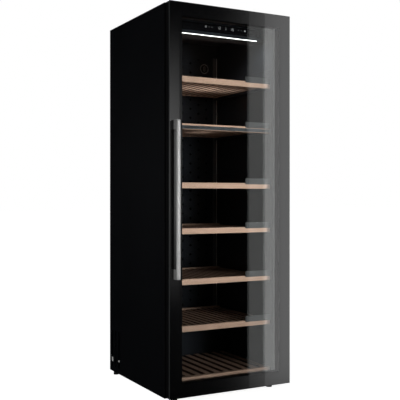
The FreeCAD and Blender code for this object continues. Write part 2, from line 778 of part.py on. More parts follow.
def shelf_slats(label, top):
    """Low rear bar, thin side rails and the slats that the bottles lie on."""
    slat_top = f"({top} - dims.slat_drop)"
    slat_bottom = f"({slat_top} - dims.slat_thickness)"
    rear_low = (f"-{SHELF_HALF}", SLAT_END, slat_bottom)
    rear_bar = block(f"{label}_rear", rear_low, (SHELF_HALF, SHELF_REAR, top))
    left_low = (f"-{SHELF_HALF}", SLAT_START, slat_bottom)
    left = block(f"{label}_left_rail", left_low, (f"-{RAIL_INSIDE}", SLAT_END, slat_top))
    right_low = (RAIL_INSIDE, SLAT_START, slat_bottom)
    right = block(f"{label}_right_rail", right_low, (SHELF_HALF, SLAT_END, slat_top))
    pieces = [rear_bar, left, right]
    slats = round(number(f"2 * {RAIL_INSIDE} / dims.slat_pitch"))
    for index in range(slats):
        middle = f"(({index} + 0.5 - {slats} / 2) * 2 * {RAIL_INSIDE} / {slats})"
        low = (f"{middle} - dims.slat_width / 2", SLAT_START, slat_bottom)
        high = (f"{middle} + dims.slat_width / 2", SLAT_END, slat_top)
        pieces.append(block(f"{label}_slat_{index}", low, high))
    keep(group(label, pieces), label)


def label_holder(label, top):
    """Blank plate that clips over the right end of a shelf's front bar."""
    face = f"({SHELF_FRONT} - dims.tag_sheet)"
    profile = [
        (face, f"{top} - dims.tag_overlap"),
        (SHELF_FRONT, f"{top} - dims.tag_overlap"),
        (SHELF_FRONT, top),
        (f"{SHELF_FRONT} + dims.tag_lip", top),
        (f"{SHELF_FRONT} + dims.tag_lip", f"{top} + dims.tag_sheet"),
        (SHELF_FRONT, f"{top} + dims.tag_sheet"),
        (SHELF_FRONT, f"{top} + dims.tag_rise"),
        (face, f"{top} + dims.tag_rise"),
    ]
    keep(plate(label, "YZ", f"{SHELF_HALF} - dims.tag_width", "dims.tag_width", [profile]), label)


# The lowest shelf clears the step over the machine bay, and the spaces share out the height above it
SHARED_HEIGHT = f"({CAVITY_CEILING} - {STEP_TOP} - dims.shelf_over_step)"
SPACES = [f"dims.space_over_shelf_{shelf}" for shelf in range(1, 7)]
ALL_SPACES = " + ".join(SPACES)
SHELF_TOPS = {}
for shelf in range(1, 7):
    spaces_above = " + ".join(SPACES[:shelf])
    SHELF_TOPS[shelf] = f"({CAVITY_CEILING} - {SHARED_HEIGHT} * ({spaces_above}) / ({ALL_SPACES}))"
runners = []
for shelf, shelf_top in SHELF_TOPS.items():
    front_bar(f"shelf_{shelf}_front_bar", f"{shelf_top} - dims.bar_height", shelf_top)
    shelf_slats(f"shelf_{shelf}_slats", shelf_top)
    label_holder(f"shelf_{shelf}_label_holder", shelf_top)
    runner_top = f"({shelf_top} - dims.slat_drop - dims.slat_thickness - dims.seat_gap)"
    runner_front = f"({SLAT_START} + dims.runner_setback)"
    runner_rear = f"({DUCT_FRONT} - dims.runner_rear_gap)"
    runner_bottom = f"({runner_top} - dims.runner_height)"
    runner_inside = f"({CAVITY_HALF} - dims.runner_width)"
    left_low = (f"-{CAVITY_HALF}", runner_front, runner_bottom)
    runners.append(block(f"runner_left_{shelf}", left_low, (f"-{runner_inside}", runner_rear, runner_top)))
    right_low = (runner_inside, runner_front, runner_bottom)
    runners.append(block(f"runner_right_{shelf}", right_low, (CAVITY_HALF, runner_rear, runner_top)))
keep(group("shelf_runners", runners), "shelf_runners")

TRIM_BOTTOM = f"({SHELF_TOPS[2]} - dims.bar_height + dims.trim_rise)"
trim_low = (f"-{SHELF_HALF}", f"{SHELF_FRONT} - dims.trim_sheet", TRIM_BOTTOM)
trim_high = (SHELF_HALF, SHELF_FRONT, f"{TRIM_BOTTOM} + dims.trim_height")
keep(block("shelf_2_trim", trim_low, trim_high), "shelf_2_trim")


def bottom_rack():
    """Low rack on the floor: a thin front bar, and wide slats on two bearers."""
    top = f"({CAVITY_FLOOR} + dims.rack_height)"
    rear = f"({STEP_FRONT} - dims.rack_rear_gap)"
    slat_bottom = f"({top} - dims.rack_slat_thickness)"
    front_bar("rack_front_bar", f"{top} - dims.rack_bar_height", top)
    pieces = []
    for name, start in (("front", SLAT_START), ("rear", f"({rear} - dims.rack_bearer_depth)")):
        low = (f"-{SHELF_HALF}", start, CAVITY_FLOOR)
        high = (SHELF_HALF, f"{start} + dims.rack_bearer_depth", slat_bottom)
        pieces.append(block(f"rack_bearer_{name}", low, high))
    slats = int(number(f"2 * {SHELF_HALF} / dims.rack_slat_pitch"))
    for index in range(slats):
        middle = f"(({index} + 0.5 - {slats} / 2) * dims.rack_slat_pitch)"
        low = (f"{middle} - dims.rack_slat_width / 2", SLAT_START, slat_bottom)
        high = (f"{middle} + dims.rack_slat_width / 2", rear, top)
        pieces.append(block(f"rack_slat_{index}", low, high))
    keep(group("rack_slats", pieces), "rack_slats")


bottom_rack()


# Machine bay

COMPRESSOR_X = f"({HALF_WIDTH} - dims.compressor_inset)"


def compressor():
    """Sealed compressor shell on its foot plate and four rubber mounts."""
    plate_bottom = f"({BASE_TOP} + dims.mount_height)"
    shell_bottom = f"({plate_bottom} + dims.compressor_plate / 2)"
    middle_y = f"({BAY_FRONT} + dims.bay_depth / 2)"
    shell = turned(
        "compressor_shell",
        rectangle(("0", "0"), ("dims.compressor_radius", "dims.compressor_height")),
        (COMPRESSOR_X, middle_y, shell_bottom),
    )
    base = shell.Tip
    base.recompute(True)
    rims = [f"Edge{index + 1}" for index, edge in enumerate(base.Shape.Edges) if edge.Closed]
    fillet = shell.newObject("PartDesign::Fillet", "compressor_round")
    fillet.Base = (base, rims)
    fillet.setExpression("Radius", "dims.compressor_round")
    spread = "(dims.mount_spread + dims.mount_radius)"
    plate_top = f"({plate_bottom} + dims.compressor_plate)"
    foot_low = (f"{COMPRESSOR_X} - {spread}", f"{middle_y} - {spread}", plate_bottom)
    foot_high = (f"{COMPRESSOR_X} + {spread}", f"{middle_y} + {spread}", plate_top)
    keep(fuse("compressor", shell, block("compressor_foot", foot_low, foot_high)), "compressor")
    mounts = []
    for x_sign in "+-":
        x = f"{COMPRESSOR_X} {x_sign} dims.mount_spread"
        for y_sign in "+-":
            foot = (x, f"{middle_y} {y_sign} dims.mount_spread", BASE_TOP)
            mounts.append(rod(f"mount_{len(mounts)}", "z", "dims.mount_radius", foot, "dims.mount_height"))
    keep(group("compressor_mounts", mounts), "compressor_mounts")


def condenser_coil():
    """Serpentine tube beside the compressor, its bends towards the left vent slots."""
    tube = number("dims.coil_tube_radius")
    bend = number("dims.coil_bend_radius")
    rows = int(number("dims.coil_rows"))
    left = number(f"dims.skin - {HALF_WIDTH} + dims.coil_side_gap") + tube + bend
    right = left + number("dims.coil_length")
    y = number(f"{CABINET_REAR} - dims.coil_rear_gap")
    z = number(f"{BASE_TOP} + dims.seat_gap") + tube
    edges = []
    for row in range(rows):
        start, end = (right, left) if row % 2 == 0 else (left, right)
        edges.append(Part.LineSegment(Vector(start, y, z), Vector(end, y, z)).toShape())
        if row + 1 < rows:
            side = -bend if end == left else bend
            top = Vector(end, y, z + 2 * bend)
            edges.append(Part.Arc(Vector(end, y, z), Vector(end + side, y, z + bend), top).toShape())
        z += 2 * bend
    spine = Part.Wire(edges)
    begin = edges[0].Vertexes[0].Point
    section = Part.Wire(Part.Circle(begin, AXES["x"], tube).toShape())
    piece = doc.addObject("Part::Feature", "condenser_coil")
    piece.Shape = spine.makePipeShell([section], True, False)
    keep(piece, "condenser_coil")


INLET_X = f"({HALF_WIDTH} - dims.inlet_inset)"
INLET_HALF = "(dims.inlet_width / 2)"
INLET_Z = f"({BASE_BOTTOM} + dims.inlet_rise)"
INLET_TOP = f"({INLET_Z} + dims.inlet_height)"


def machine_cover():
    """Rear cover of the machine bay with louvre slots and the opening for the mains inlet."""
    half = f"({INSIDE_HALF} - dims.seat_gap)"
    blank = block("cover_blank", (f"-{half}", INSIDE_REAR, BASE_TOP), (half, CABINET_REAR, BAY_TOP))
    depth = (f"{INSIDE_REAR} - dims.overcut", f"{CABINET_REAR} + dims.overcut")
    openings = []
    for column in (-1, 0, 1):
        for row in range(int(number("dims.louvre_rows"))):
            x = f"({column} * (dims.louvre_width + dims.louvre_pitch))"
            z = f"({BASE_BOTTOM} + dims.louvre_rise + {row} * dims.louvre_pitch)"
            low = (f"{x} - dims.louvre_width / 2", depth[0], z)
            high = (f"{x} + dims.louvre_width / 2", depth[1], f"{z} + dims.louvre_height")
            openings.append(block(f"louvre_{len(openings)}", low, high))
    inlet_low = (f"{INLET_X} - {INLET_HALF}", depth[0], INLET_Z)
    inlet_high = (f"{INLET_X} + {INLET_HALF}", depth[1], INLET_TOP)
    openings.append(block("inlet_opening", inlet_low, inlet_high))
    keep(cut("machine_cover", blank, group("cover_openings", openings)), "machine_cover")


def power_inlet():
    """Mains inlet: a socket shell in the rear cover with three contact pins."""
    front = f"({CABINET_REAR} - dims.inlet_depth)"
    low = (f"{INLET_X} - {INLET_HALF}", front, INLET_Z)
    high = (f"{INLET_X} + {INLET_HALF}", CABINET_REAR, INLET_TOP)
    well_low = tuple(f"{edge} + dims.inlet_wall" for edge in low)
    well_high = (f"{high[0]} - dims.inlet_wall", f"{high[1]} + dims.overcut", f"{high[2]} - dims.inlet_wall")
    shell = cut("inlet_shell", block("inlet_blank", low, high), block("inlet_well", well_low, well_high))
    pins = []
    for index in (-1, 0, 1):
        x = f"({INLET_X} + {index} * dims.inlet_pin_spread)"
        z = f"({INLET_Z} + dims.inlet_height / 2 + {abs(index) - 0.5} * dims.inlet_pin)"
        pin_low = (f"{x} - dims.inlet_pin / 2", f"{front} + dims.inlet_wall / 2", f"{z} - dims.inlet_pin")
        pin_end = f"{CABINET_REAR} - dims.inlet_wall"
        pin_high = (f"{x} + dims.inlet_pin / 2", pin_end, f"{z} + dims.inlet_pin")
        pins.append(block(f"inlet_pin_{index + 1}", pin_low, pin_high))
    keep(fuse("power_inlet", shell, *pins), "power_inlet")


compressor()
condenser_coil()
machine_cover()
power_inlet()


# Feet

rear_feet = []
for side, sign in (("left", "-"), ("right", "")):
    spot = (
        f"{sign}({HALF_WIDTH} - dims.rear_foot_inset)",
        f"{CABINET_REAR} - dims.rear_foot_setback",
        "0",
    )
    rear_feet.append(rod(f"rear_foot_{side}", "z", "dims.rear_foot_radius", spot, "dims.foot_height"))
    foot_profile = [
        ("0", "0"),
        ("dims.foot_radius", "0"),
        ("dims.foot_radius", "dims.foot_pad"),
        ("dims.foot_neck_radius", f"{BASE_BOTTOM} - dims.seat_gap"),
        ("dims.foot_stem_radius", f"{BASE_BOTTOM} - dims.seat_gap"),
        ("dims.foot_stem_radius", f"{BASE_TOP} + dims.foot_stem_length"),
        ("0", f"{BASE_TOP} + dims.foot_stem_length"),
    ]
    label = f"{side}_levelling_foot"
    keep(turned(label, foot_profile, (f"{sign}{FRONT_FOOT_X}", FRONT_FOOT_Y, "0")), label)
keep(group("rear_feet", rear_feet), "rear_feet")


# Hinges


def hinge_bracket(label, leaf, leaf_sign):
    """Folded bracket: one leaf on the cabinet's face, one leaf forward into the door's notch."""
    inner = f"({leaf} {leaf_sign} dims.bracket_sheet)"
    end = f"({leaf} {leaf_sign} dims.bracket_height)"
    nose = f"({PIN_Y} - dims.bracket_nose)"
    profile = [
        (nose, leaf),
        (CABINET_FRONT, leaf),
        (CABINET_FRONT, end),
        (LEAF_FRONT, end),
        (LEAF_FRONT, inner),
        (nose, inner),
    ]
    start = f"{BRACKET_X} - dims.bracket_width / 2"
    blank = plate(label, "YZ", start, "dims.bracket_width", [profile])
    bore_base = (PIN_X, PIN_Y, f"{leaf} - dims.overcut")
    bore = rod(f"{label}_bore", "z", PIN_BORE, bore_base, "2 * dims.overcut")
    keep(cut(label, blank, bore, *hinge_screw_holes), label)


hinge_bracket("upper_hinge_bracket", UPPER_LEAF_TOP, "-")
hinge_bracket("lower_hinge_bracket", LOWER_LEAF_BOTTOM, "+")

upper_pin_base = (PIN_X, PIN_Y, f"{UPPER_LEAF_TOP} - dims.pin_length")
upper_pin = rod("upper_pin", "z", "dims.pin_radius", upper_pin_base, "dims.pin_length")
lower_pin = rod("lower_pin", "z", "dims.pin_radius", (PIN_X, PIN_Y, LOWER_LEAF_BOTTOM), "dims.pin_length")
keep(group("hinge_pins", [upper_pin, lower_pin]), "hinge_pins")

hinge_screws = []
for index, height in enumerate(HINGE_SCREW_HEIGHTS):
    start = (BRACKET_X, f"{LEAF_FRONT} - dims.bracket_screw_head", height)
    head_name = f"hinge_screw_head_{index}"
    head = rod(head_name, "y", "dims.screw_head_radius", start, "dims.bracket_screw_head")
    shank_name = f"hinge_screw_shank_{index}"
    shank = rod(shank_name, "y", "dims.screw_radius", start, "dims.bracket_screw_length")
    hinge_screws.append(fuse(f"hinge_screw_{index}", head, shank))
keep(group("hinge_screws", hinge_screws), "hinge_screws")


# Door

SCREW_HOLE = "(dims.screw_radius + dims.screw_clearance)"
POST_BOTTOMS = (HANDLE_BOTTOM, f"({HANDLE_TOP} - dims.post_height)")
HANDLE_SCREWS = [f"({bottom} + dims.post_height / 2)" for bottom in POST_BOTTOMS]
UPPER_BUSH = f"({DOOR_TOP} - dims.notch_height - dims.bush_length)"
LOWER_BUSH = f"({DOOR_BOTTOM} + dims.notch_height)"
BUSH_BASES = {"upper": UPPER_BUSH, "lower": LOWER_BUSH}


def outer_glass():
    """Front pane over the whole door, with an arris and two holes for the handle's screws."""
    pane = rectangle((f"-{HALF_WIDTH}", DOOR_BOTTOM), (HALF_WIDTH, DOOR_TOP))
    holes = [((HANDLE_X, height), SCREW_HOLE) for height in HANDLE_SCREWS]
    body = plate("outer_glass", "XZ", GLASS_FRONT, "dims.pane", [pane], holes)
    base = body.Tip
    base.recompute(True)
    face = number(GLASS_FRONT)
    front_edges = []
    for index, edge in enumerate(base.Shape.Edges):
        box = edge.BoundBox
        straight = isinstance(edge.Curve, Part.Line)
        if straight and abs(box.YMin - face) < SAME_PLANE and abs(box.YMax - face) < SAME_PLANE:
            front_edges.append(f"Edge{index + 1}")
    bevel = body.newObject("PartDesign::Chamfer", "outer_glass_arris")
    bevel.Base = (base, front_edges)
    bevel.setExpression("Size", "dims.pane_bevel")
    keep(body, "outer_glass")


def door_frame():
    """Black frame behind the front pane, rebated for the inner pane and notched for the hinges."""
    low = (f"-{FRAME_HALF}", FRAME_FRONT, FRAME_BOTTOM)
    high = (FRAME_HALF, FRAME_REAR, FRAME_TOP)
    blank = block("frame_blank", low, high)
    opening_half = f"({HALF_WIDTH} - dims.door_border)"
    opening_low = (f"-{opening_half}", f"{FRAME_FRONT} - dims.overcut", f"{DOOR_BOTTOM} + dims.door_border")
    opening_high = (opening_half, f"{FRAME_REAR} + dims.overcut", f"{DOOR_TOP} - dims.door_border")
    seat = f"({INNER_PANE_BORDER} - dims.glazing_fit)"
    seat_half = f"({HALF_WIDTH} - {seat})"
    seat_low = (f"-{seat_half}", f"{FRAME_FRONT} - dims.overcut", f"{DOOR_BOTTOM} + {seat}")
    seat_high = (seat_half, INNER_PANE_REAR, f"{DOOR_TOP} - {seat}")
    notch_left = f"({HALF_WIDTH} - dims.notch_width)"
    notch_depth = (f"{FRAME_FRONT} - dims.overcut", f"{FRAME_REAR} + dims.overcut")
    upper_low = (notch_left, notch_depth[0], f"{DOOR_TOP} - dims.notch_height")
    upper_high = (f"{HALF_WIDTH} + dims.overcut", notch_depth[1], f"{DOOR_TOP} + dims.overcut")
    lower_low = (notch_left, notch_depth[0], f"{DOOR_BOTTOM} - dims.overcut")
    lower_high = (f"{HALF_WIDTH} + dims.overcut", notch_depth[1], f"{DOOR_BOTTOM} + dims.notch_height")
    tools = [
        block("frame_opening", opening_low, opening_high),
        block("frame_rebate", seat_low, seat_high),
        block("upper_notch", upper_low, upper_high),
        block("lower_notch", lower_low, lower_high),
    ]
    bush_seat = f"{PIN_BORE} + dims.bush_wall + dims.bush_clearance"
    for name, base in BUSH_BASES.items():
        tools.append(rod(f"{name}_bush_seat", "z", bush_seat, (PIN_X, PIN_Y, base), "dims.bush_length"))
    for index, height in enumerate(HANDLE_SCREWS):
        start = (HANDLE_X, f"{FRAME_FRONT} - dims.overcut", height)
        length = f"{FRAME_REAR} - {FRAME_FRONT} + 2 * dims.overcut"
        tools.append(rod(f"frame_screw_hole_{index}", "y", SCREW_HOLE, start, length))
        head_start = (HANDLE_X, f"{FRAME_REAR} - dims.screw_head_height", height)
        head_radius = "dims.screw_head_radius + dims.screw_clearance"
        head_length = "dims.screw_head_height + dims.overcut"
        tools.append(rod(f"frame_head_hole_{index}", "y", head_radius, head_start, head_length))
    keep(cut("door_frame", blank, *tools), "door_frame")


def hinge_bushes():
    """Plastic bushes in the door frame that turn on the pins."""
    bushes = []
    for name, base in BUSH_BASES.items():
        seat = (PIN_X, PIN_Y, base)
        sleeve = rod(f"{name}_bush_sleeve", "z", f"{PIN_BORE} + dims.bush_wall", seat, "dims.bush_length")
        hole = rod(f"{name}_bush_bore", "z", PIN_BORE, seat, "dims.bush_length")
        bushes.append(cut(f"{name}_bush", sleeve, hole))
    keep(group("hinge_bushes", bushes), "hinge_bushes")


def glazing():
    """Inner pane and the spacer that holds it off the front pane."""
    half = f"({HALF_WIDTH} - {INNER_PANE_BORDER})"
    low = f"{DOOR_BOTTOM} + {INNER_PANE_BORDER}"
    high = f"{DOOR_TOP} - {INNER_PANE_BORDER}"
    pane = block("inner_glass", (f"-{half}", INNER_PANE_FRONT, low), (half, INNER_PANE_REAR, high))
    keep(pane, "inner_glass")
    spacer_low = (f"-{half}", FRAME_FRONT, low)
    spacer_high = (half, INNER_PANE_FRONT, high)
    width = "dims.spacer_width"
    keep(ring("glazing_spacer", spacer_low, spacer_high, width, width), "glazing_spacer")


def door_gasket():
    """Magnetic seal: a flat foot on the frame and a narrower bulb that meets the cabinet's face."""
    bulb_inset = "(dims.gasket_width - dims.gasket_bulb) / 2"
    layers = []
    for name, rear, inset, width in (
        ("gasket_foot", f"{FRAME_REAR} + dims.gasket_base", "0", "dims.gasket_width"),
        ("gasket_bulb", f"{CABINET_FRONT} - dims.seat_gap", bulb_inset, "dims.gasket_bulb"),
    ):
        half = f"({HALF_WIDTH} - dims.gasket_side_inset - {inset})"
        low = (f"-{half}", FRAME_REAR, f"{DOOR_BOTTOM} + dims.gasket_end_inset + {inset}")
        high = (half, rear, f"{DOOR_TOP} - dims.gasket_end_inset - {inset}")
        layers.append(ring(name, low, high, width, width))
    keep(fuse("door_gasket", *layers), "door_gasket")


def handle():
    """Upright bar handle on two posts, held by screws from behind the frame."""
    half = "dims.handle_width / 2"
    section = rectangle((f"{HANDLE_X} - {half}", HANDLE_FRONT), (f"{HANDLE_X} + {half}", HANDLE_BACK))
    bar = plate("handle_bar", "XY", HANDLE_BOTTOM, "dims.handle_length", [section])
    soften(bar, "handle_bar", "dims.handle_round")
    keep(bar, "handle_bar")
    posts = []
    screws = []
    tip = f"({GLASS_FRONT} - dims.screw_grip)"
    for index, (bottom, height) in enumerate(zip(POST_BOTTOMS, HANDLE_SCREWS)):
        low = (f"{HANDLE_X} - dims.post_width / 2", HANDLE_BACK, bottom)
        high = (f"{HANDLE_X} + dims.post_width / 2", GLASS_FRONT, f"{bottom} + dims.post_height")
        thread = "dims.screw_radius + dims.thread_clearance"
        hole_length = "dims.screw_grip + dims.thread_clearance + dims.overcut"
        hole_end = (HANDLE_X, f"{tip} - dims.thread_clearance", height)
        hole = rod(f"post_hole_{index}", "y", thread, hole_end, hole_length)
        posts.append(cut(f"handle_post_{index}", block(f"post_blank_{index}", low, high), hole))
        shank_length = f"{FRAME_REAR} - {tip}"
        shank = rod(f"handle_shank_{index}", "y", "dims.screw_radius", (HANDLE_X, tip, height), shank_length)
        head_start = (HANDLE_X, f"{FRAME_REAR} - dims.screw_head_height", height)
        head_name = f"handle_head_{index}"
        head = rod(head_name, "y", "dims.screw_head_radius", head_start, "dims.screw_head_height")
        screws.append(fuse(f"handle_screw_{index}", shank, head))
    keep(group("handle_posts", posts), "handle_posts")
    keep(group("handle_screws", screws), "handle_screws")


outer_glass()
door_frame()
hinge_bushes()
glazing()
door_gasket()
handle()


# Check every object, then write one file for each sub-part

doc.recompute()
for item in doc.Objects:
    assert not {"Invalid", "Error"} & set(item.State), f"{item.Name} failed: {item.State}"
for part in parts:
    assert not part.Shape.isNull(), f"{part.Label} is empty"
    assert part.Shape.isValid(), f"{part.Label} is not valid"
    assert part.Shape.Solids, f"{part.Label} has no solid"

os.makedirs("parts", exist_ok=True)
for part in parts:
    part.Shape.exportStep(f"parts/{part.Label}.step")
    print(f"{part.Label}: {len(part.Shape.Solids)} solids, {part.Shape.Volume / 1000:.1f} cm3")
print(len(parts), "sub-parts")
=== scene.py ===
# %% [markdown]
# # A tall wine cooler with a glass door
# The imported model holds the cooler's solids: a painted steel cabinet, a double-glazed door on two
# pins, six slatted shelves that pull out, and the machine bay at the rear. Their shapes are right as
# they are, so this lesson dresses them: it adds finishes, small trim, light and a viewpoint. Lengths
# are metres, X to the right, Y to the rear, Z up.

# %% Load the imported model
import json
import math

import bmesh
import bpy
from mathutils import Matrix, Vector


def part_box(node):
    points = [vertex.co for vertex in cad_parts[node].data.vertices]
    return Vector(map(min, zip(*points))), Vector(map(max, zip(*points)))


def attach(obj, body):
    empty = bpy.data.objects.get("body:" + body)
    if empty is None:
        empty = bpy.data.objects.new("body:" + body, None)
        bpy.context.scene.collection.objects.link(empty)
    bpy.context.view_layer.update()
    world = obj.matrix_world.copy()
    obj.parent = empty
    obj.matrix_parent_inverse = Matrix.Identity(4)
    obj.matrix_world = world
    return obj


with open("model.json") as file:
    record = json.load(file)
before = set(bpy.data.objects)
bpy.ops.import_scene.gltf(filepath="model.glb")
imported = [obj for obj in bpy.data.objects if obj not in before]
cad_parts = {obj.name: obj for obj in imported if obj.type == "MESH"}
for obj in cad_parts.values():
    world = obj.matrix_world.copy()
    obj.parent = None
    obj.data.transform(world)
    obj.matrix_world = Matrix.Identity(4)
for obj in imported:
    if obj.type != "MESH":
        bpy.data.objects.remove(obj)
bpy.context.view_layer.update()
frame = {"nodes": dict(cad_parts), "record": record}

scene = bpy.context.scene
solids = frame["nodes"]

# %% [markdown]
# ## Viewpoint
# The picture was taken from the front left at about mid height with the camera level, so uprights
# stay upright. A level camera with a small vertical shift keeps that, where tilting it would make the
# uprights lean.

# %% Place the camera
PICTURE_PIXELS = 400
FOCAL_PIXELS = 753.22
HORIZON_PIXELS = -3.68
SENSOR_WIDTH = 36.0
EYE_PLACE = (-1.6508, -3.0491, 0.8524)
TURN_RIGHT = math.radians(28.582)
viewpoint = bpy.data.objects.new("viewpoint", bpy.data.cameras.new("viewpoint"))
viewpoint.data.sensor_width = SENSOR_WIDTH
viewpoint.data.lens = FOCAL_PIXELS / PICTURE_PIXELS * SENSOR_WIDTH
viewpoint.data.shift_y = HORIZON_PIXELS / PICTURE_PIXELS
viewpoint.location = EYE_PLACE
viewpoint.rotation_euler = (math.pi / 2, 0, -TURN_RIGHT)
scene.collection.objects.link(viewpoint)
scene.camera = viewpoint
scene.view_settings.view_transform = "Standard"
print("lens", round(viewpoint.data.lens, 2), "mm")

# %% [markdown]
# ## Wiring helpers
# A finish is a graph of nodes. One small helper adds a node, sets its choices and fills its inputs
# with plain values or with links. Four more wrap the nodes that come up again and again, so that each
# finish below reads as a short list.

# %% Helpers for node graphs
def put(tree, kind, inputs=None, **choices):
    """Adds a node to a tree; inputs may be values or other nodes' outputs."""
    node = tree.nodes.new(kind)
    for name, choice in choices.items():
        setattr(node, name, choice)
    for name, value in (inputs or {}).items():
        if isinstance(value, bpy.types.NodeSocket):
            tree.links.new(value, node.inputs[name])
        else:
            node.inputs[name].default_value = value
    return node


def blank_material(name):
    """A material with an empty graph and its output node."""
    material = bpy.data.materials.new(name)
    material.use_nodes = True
    material.node_tree.nodes.clear()
    return material, material.node_tree, material.node_tree.nodes.new("ShaderNodeOutputMaterial")


def reckon(tree, operation, first, second=0.0):
    """The result of one operation on two numbers."""
    return put(tree, "ShaderNodeMath", {0: first, 1: second}, operation=operation).outputs[0]


def carry_over(tree, value, low, high, to_low=0.0, to_high=1.0, ease="LINEAR"):
    """A value carried over from one range to another, and held inside it."""
    ends = {"From Min": low, "From Max": high, "To Min": to_low, "To Max": to_high}
    return put(tree, "ShaderNodeMapRange", {"Value": value, **ends}, interpolation_type=ease).outputs[0]


def mix_colours(tree, share, first, second):
    """A colour between two others, by a share from 0 to 1."""
    return put(tree, "ShaderNodeMix", {0: share, 6: first, 7: second}, data_type="RGBA").outputs[2]


def along_axis(tree, kind, axis):
    """One coordinate of the surface's place or normal, in the piece's own axes."""
    coordinates = put(tree, "ShaderNodeTexCoord").outputs[kind]
    return put(tree, "ShaderNodeSeparateXYZ", {0: coordinates}).outputs[axis]


X, Y, Z = 0, 1, 2
print("helpers ready")

# %% [markdown]
# ## White room
# The background is plain white. A white world seen by the camera and by mirrors, but softer as a
# lamp, gives that without burning out the object. The floor does the same: it glows for the camera
# and takes a soft shadow.

# %% White world
SOFT_SKY = 0.10
WHITE = (1, 1, 1, 1)


def seen_directly(tree):
    """1 for rays that the eye, a mirror or clear glass sends out, otherwise 0."""
    rays = put(tree, "ShaderNodeLightPath").outputs
    eye = reckon(tree, "MAXIMUM", rays["Is Camera Ray"], rays["Is Glossy Ray"])
    return reckon(tree, "MAXIMUM", eye, rays["Is Transmission Ray"])


scene.world = bpy.data.worlds.new("white_room")
scene.world.use_nodes = True
room = scene.world.node_tree
room.nodes.clear()
sky_level = carry_over(room, seen_directly(room), 0.0, 1.0, SOFT_SKY, 1.0)
sky = put(room, "ShaderNodeBackground", {"Color": WHITE, "Strength": sky_level})
put(room, "ShaderNodeOutputWorld", {"Surface": sky.outputs[0]})
print("sky level as a lamp", SOFT_SKY)

# %% Pale floor
FLOOR_GLOW = 0.93
FLOOR_PALE = (0.9, 0.9, 0.9, 1)
FLOOR_HALF = 40.0


def stage_mesh(name, shape, material):
    """A mesh of the room, which is not part of the cooler."""
    mesh = bpy.data.meshes.new(name)
    shape.to_mesh(mesh)
    shape.free()
    mesh.materials.append(material)
    piece = bpy.data.objects.new(name, mesh)
    scene.collection.objects.link(piece)
    return piece


pale_floor, tree, outlet = blank_material("pale_floor")
glow = reckon(tree, "MULTIPLY", seen_directly(tree), FLOOR_GLOW)
lit = put(tree, "ShaderNodeEmission", {"Strength": glow})
matt = put(tree, "ShaderNodeBsdfDiffuse", {"Color": FLOOR_PALE})
both = put(tree, "ShaderNodeAddShader", {0: lit.outputs[0], 1: matt.outputs[0]})
tree.links.new(both.outputs[0], outlet.inputs["Surface"])
shape = bmesh.new()
bmesh.ops.create_grid(shape, x_segments=1, y_segments=1, size=FLOOR_HALF)
floor = stage_mesh("floor", shape, pale_floor)
floor.visible_glossy = False
print("floor", 2 * FLOOR_HALF, "m across")

# %% [markdown]
# ## Black flags and glowing cards
# Black paint and clear glass show what they mirror. Photographers put black cloth round such a thing,
# and bright cards only where a streak is wanted. Here the cloth is a drum and the cards are glowing
# sheets, which only mirrors see. Two tall cards at the right give the upright bands in the glass, and
# the others the sheen of the handle, the sides, the rear and the top. All fade up and down.

# %% Cloth drum
DRUM_RADIUS = 6.0
DRUM_BOTTOM, DRUM_TOP = -5.0, 8.0
DRUM_SIDES = 48
BLACK = (0, 0, 0, 1)
MATT_SIGHTS = ("camera", "diffuse", "transmission", "volume_scatter", "shadow")


def only_for_mirrors(piece):
    """Hides a piece of the room from all but mirrors."""
    for sight in MATT_SIGHTS:
        setattr(piece, f"visible_{sight}", False)


black_cloth, tree, outlet = blank_material("black_cloth")
cloth = put(tree, "ShaderNodeBsdfDiffuse", {"Color": BLACK})
tree.links.new(cloth.outputs[0], outlet.inputs["Surface"])
shape = bmesh.new()
bmesh.ops.create_cone(shape, cap_ends=True, segments=DRUM_SIDES, radius1=DRUM_RADIUS,
                      radius2=DRUM_RADIUS, depth=DRUM_TOP - DRUM_BOTTOM)
bmesh.ops.translate(shape, verts=shape.verts, vec=(0, 0, (DRUM_TOP + DRUM_BOTTOM) / 2))
only_for_mirrors(stage_mesh("black_cloth_drum", shape, black_cloth))
print("drum radius", DRUM_RADIUS, "m")

# %% Helper for glowing cards
UNIT_HALF = 0.5


def aim(piece, centre, target):
    """Puts a lamp or card at a centre and turns its face to a target."""
    piece.location = centre
    piece.rotation_euler = (Vector(target) - Vector(centre)).to_track_quat("-Z", "Y").to_euler()


def glowing_card(name, centre, target, size, radiance, steady=0.0):
    """A bright sheet that only mirrors see; beyond its steady share it fades up and down."""
    material, tree, outlet = blank_material(name)
    height = reckon(tree, "ABSOLUTE", along_axis(tree, "Object", Y))
    half = size[1] / 2
    level = carry_over(tree, height, steady * half, half, radiance, 0.0, "SMOOTHSTEP")
    glow = put(tree, "ShaderNodeEmission", {"Strength": level})
    tree.links.new(glow.outputs[0], outlet.inputs["Surface"])
    material.cycles.emission_sampling = "NONE"
    shape = bmesh.new()
    bmesh.ops.create_grid(shape, x_segments=1, y_segments=1, size=UNIT_HALF)
    bmesh.ops.scale(shape, verts=shape.verts, vec=(*size, 1))
    card = stage_mesh(name, shape, material)
    aim(card, centre, target)
    only_for_mirrors(card)


print("card helper ready")

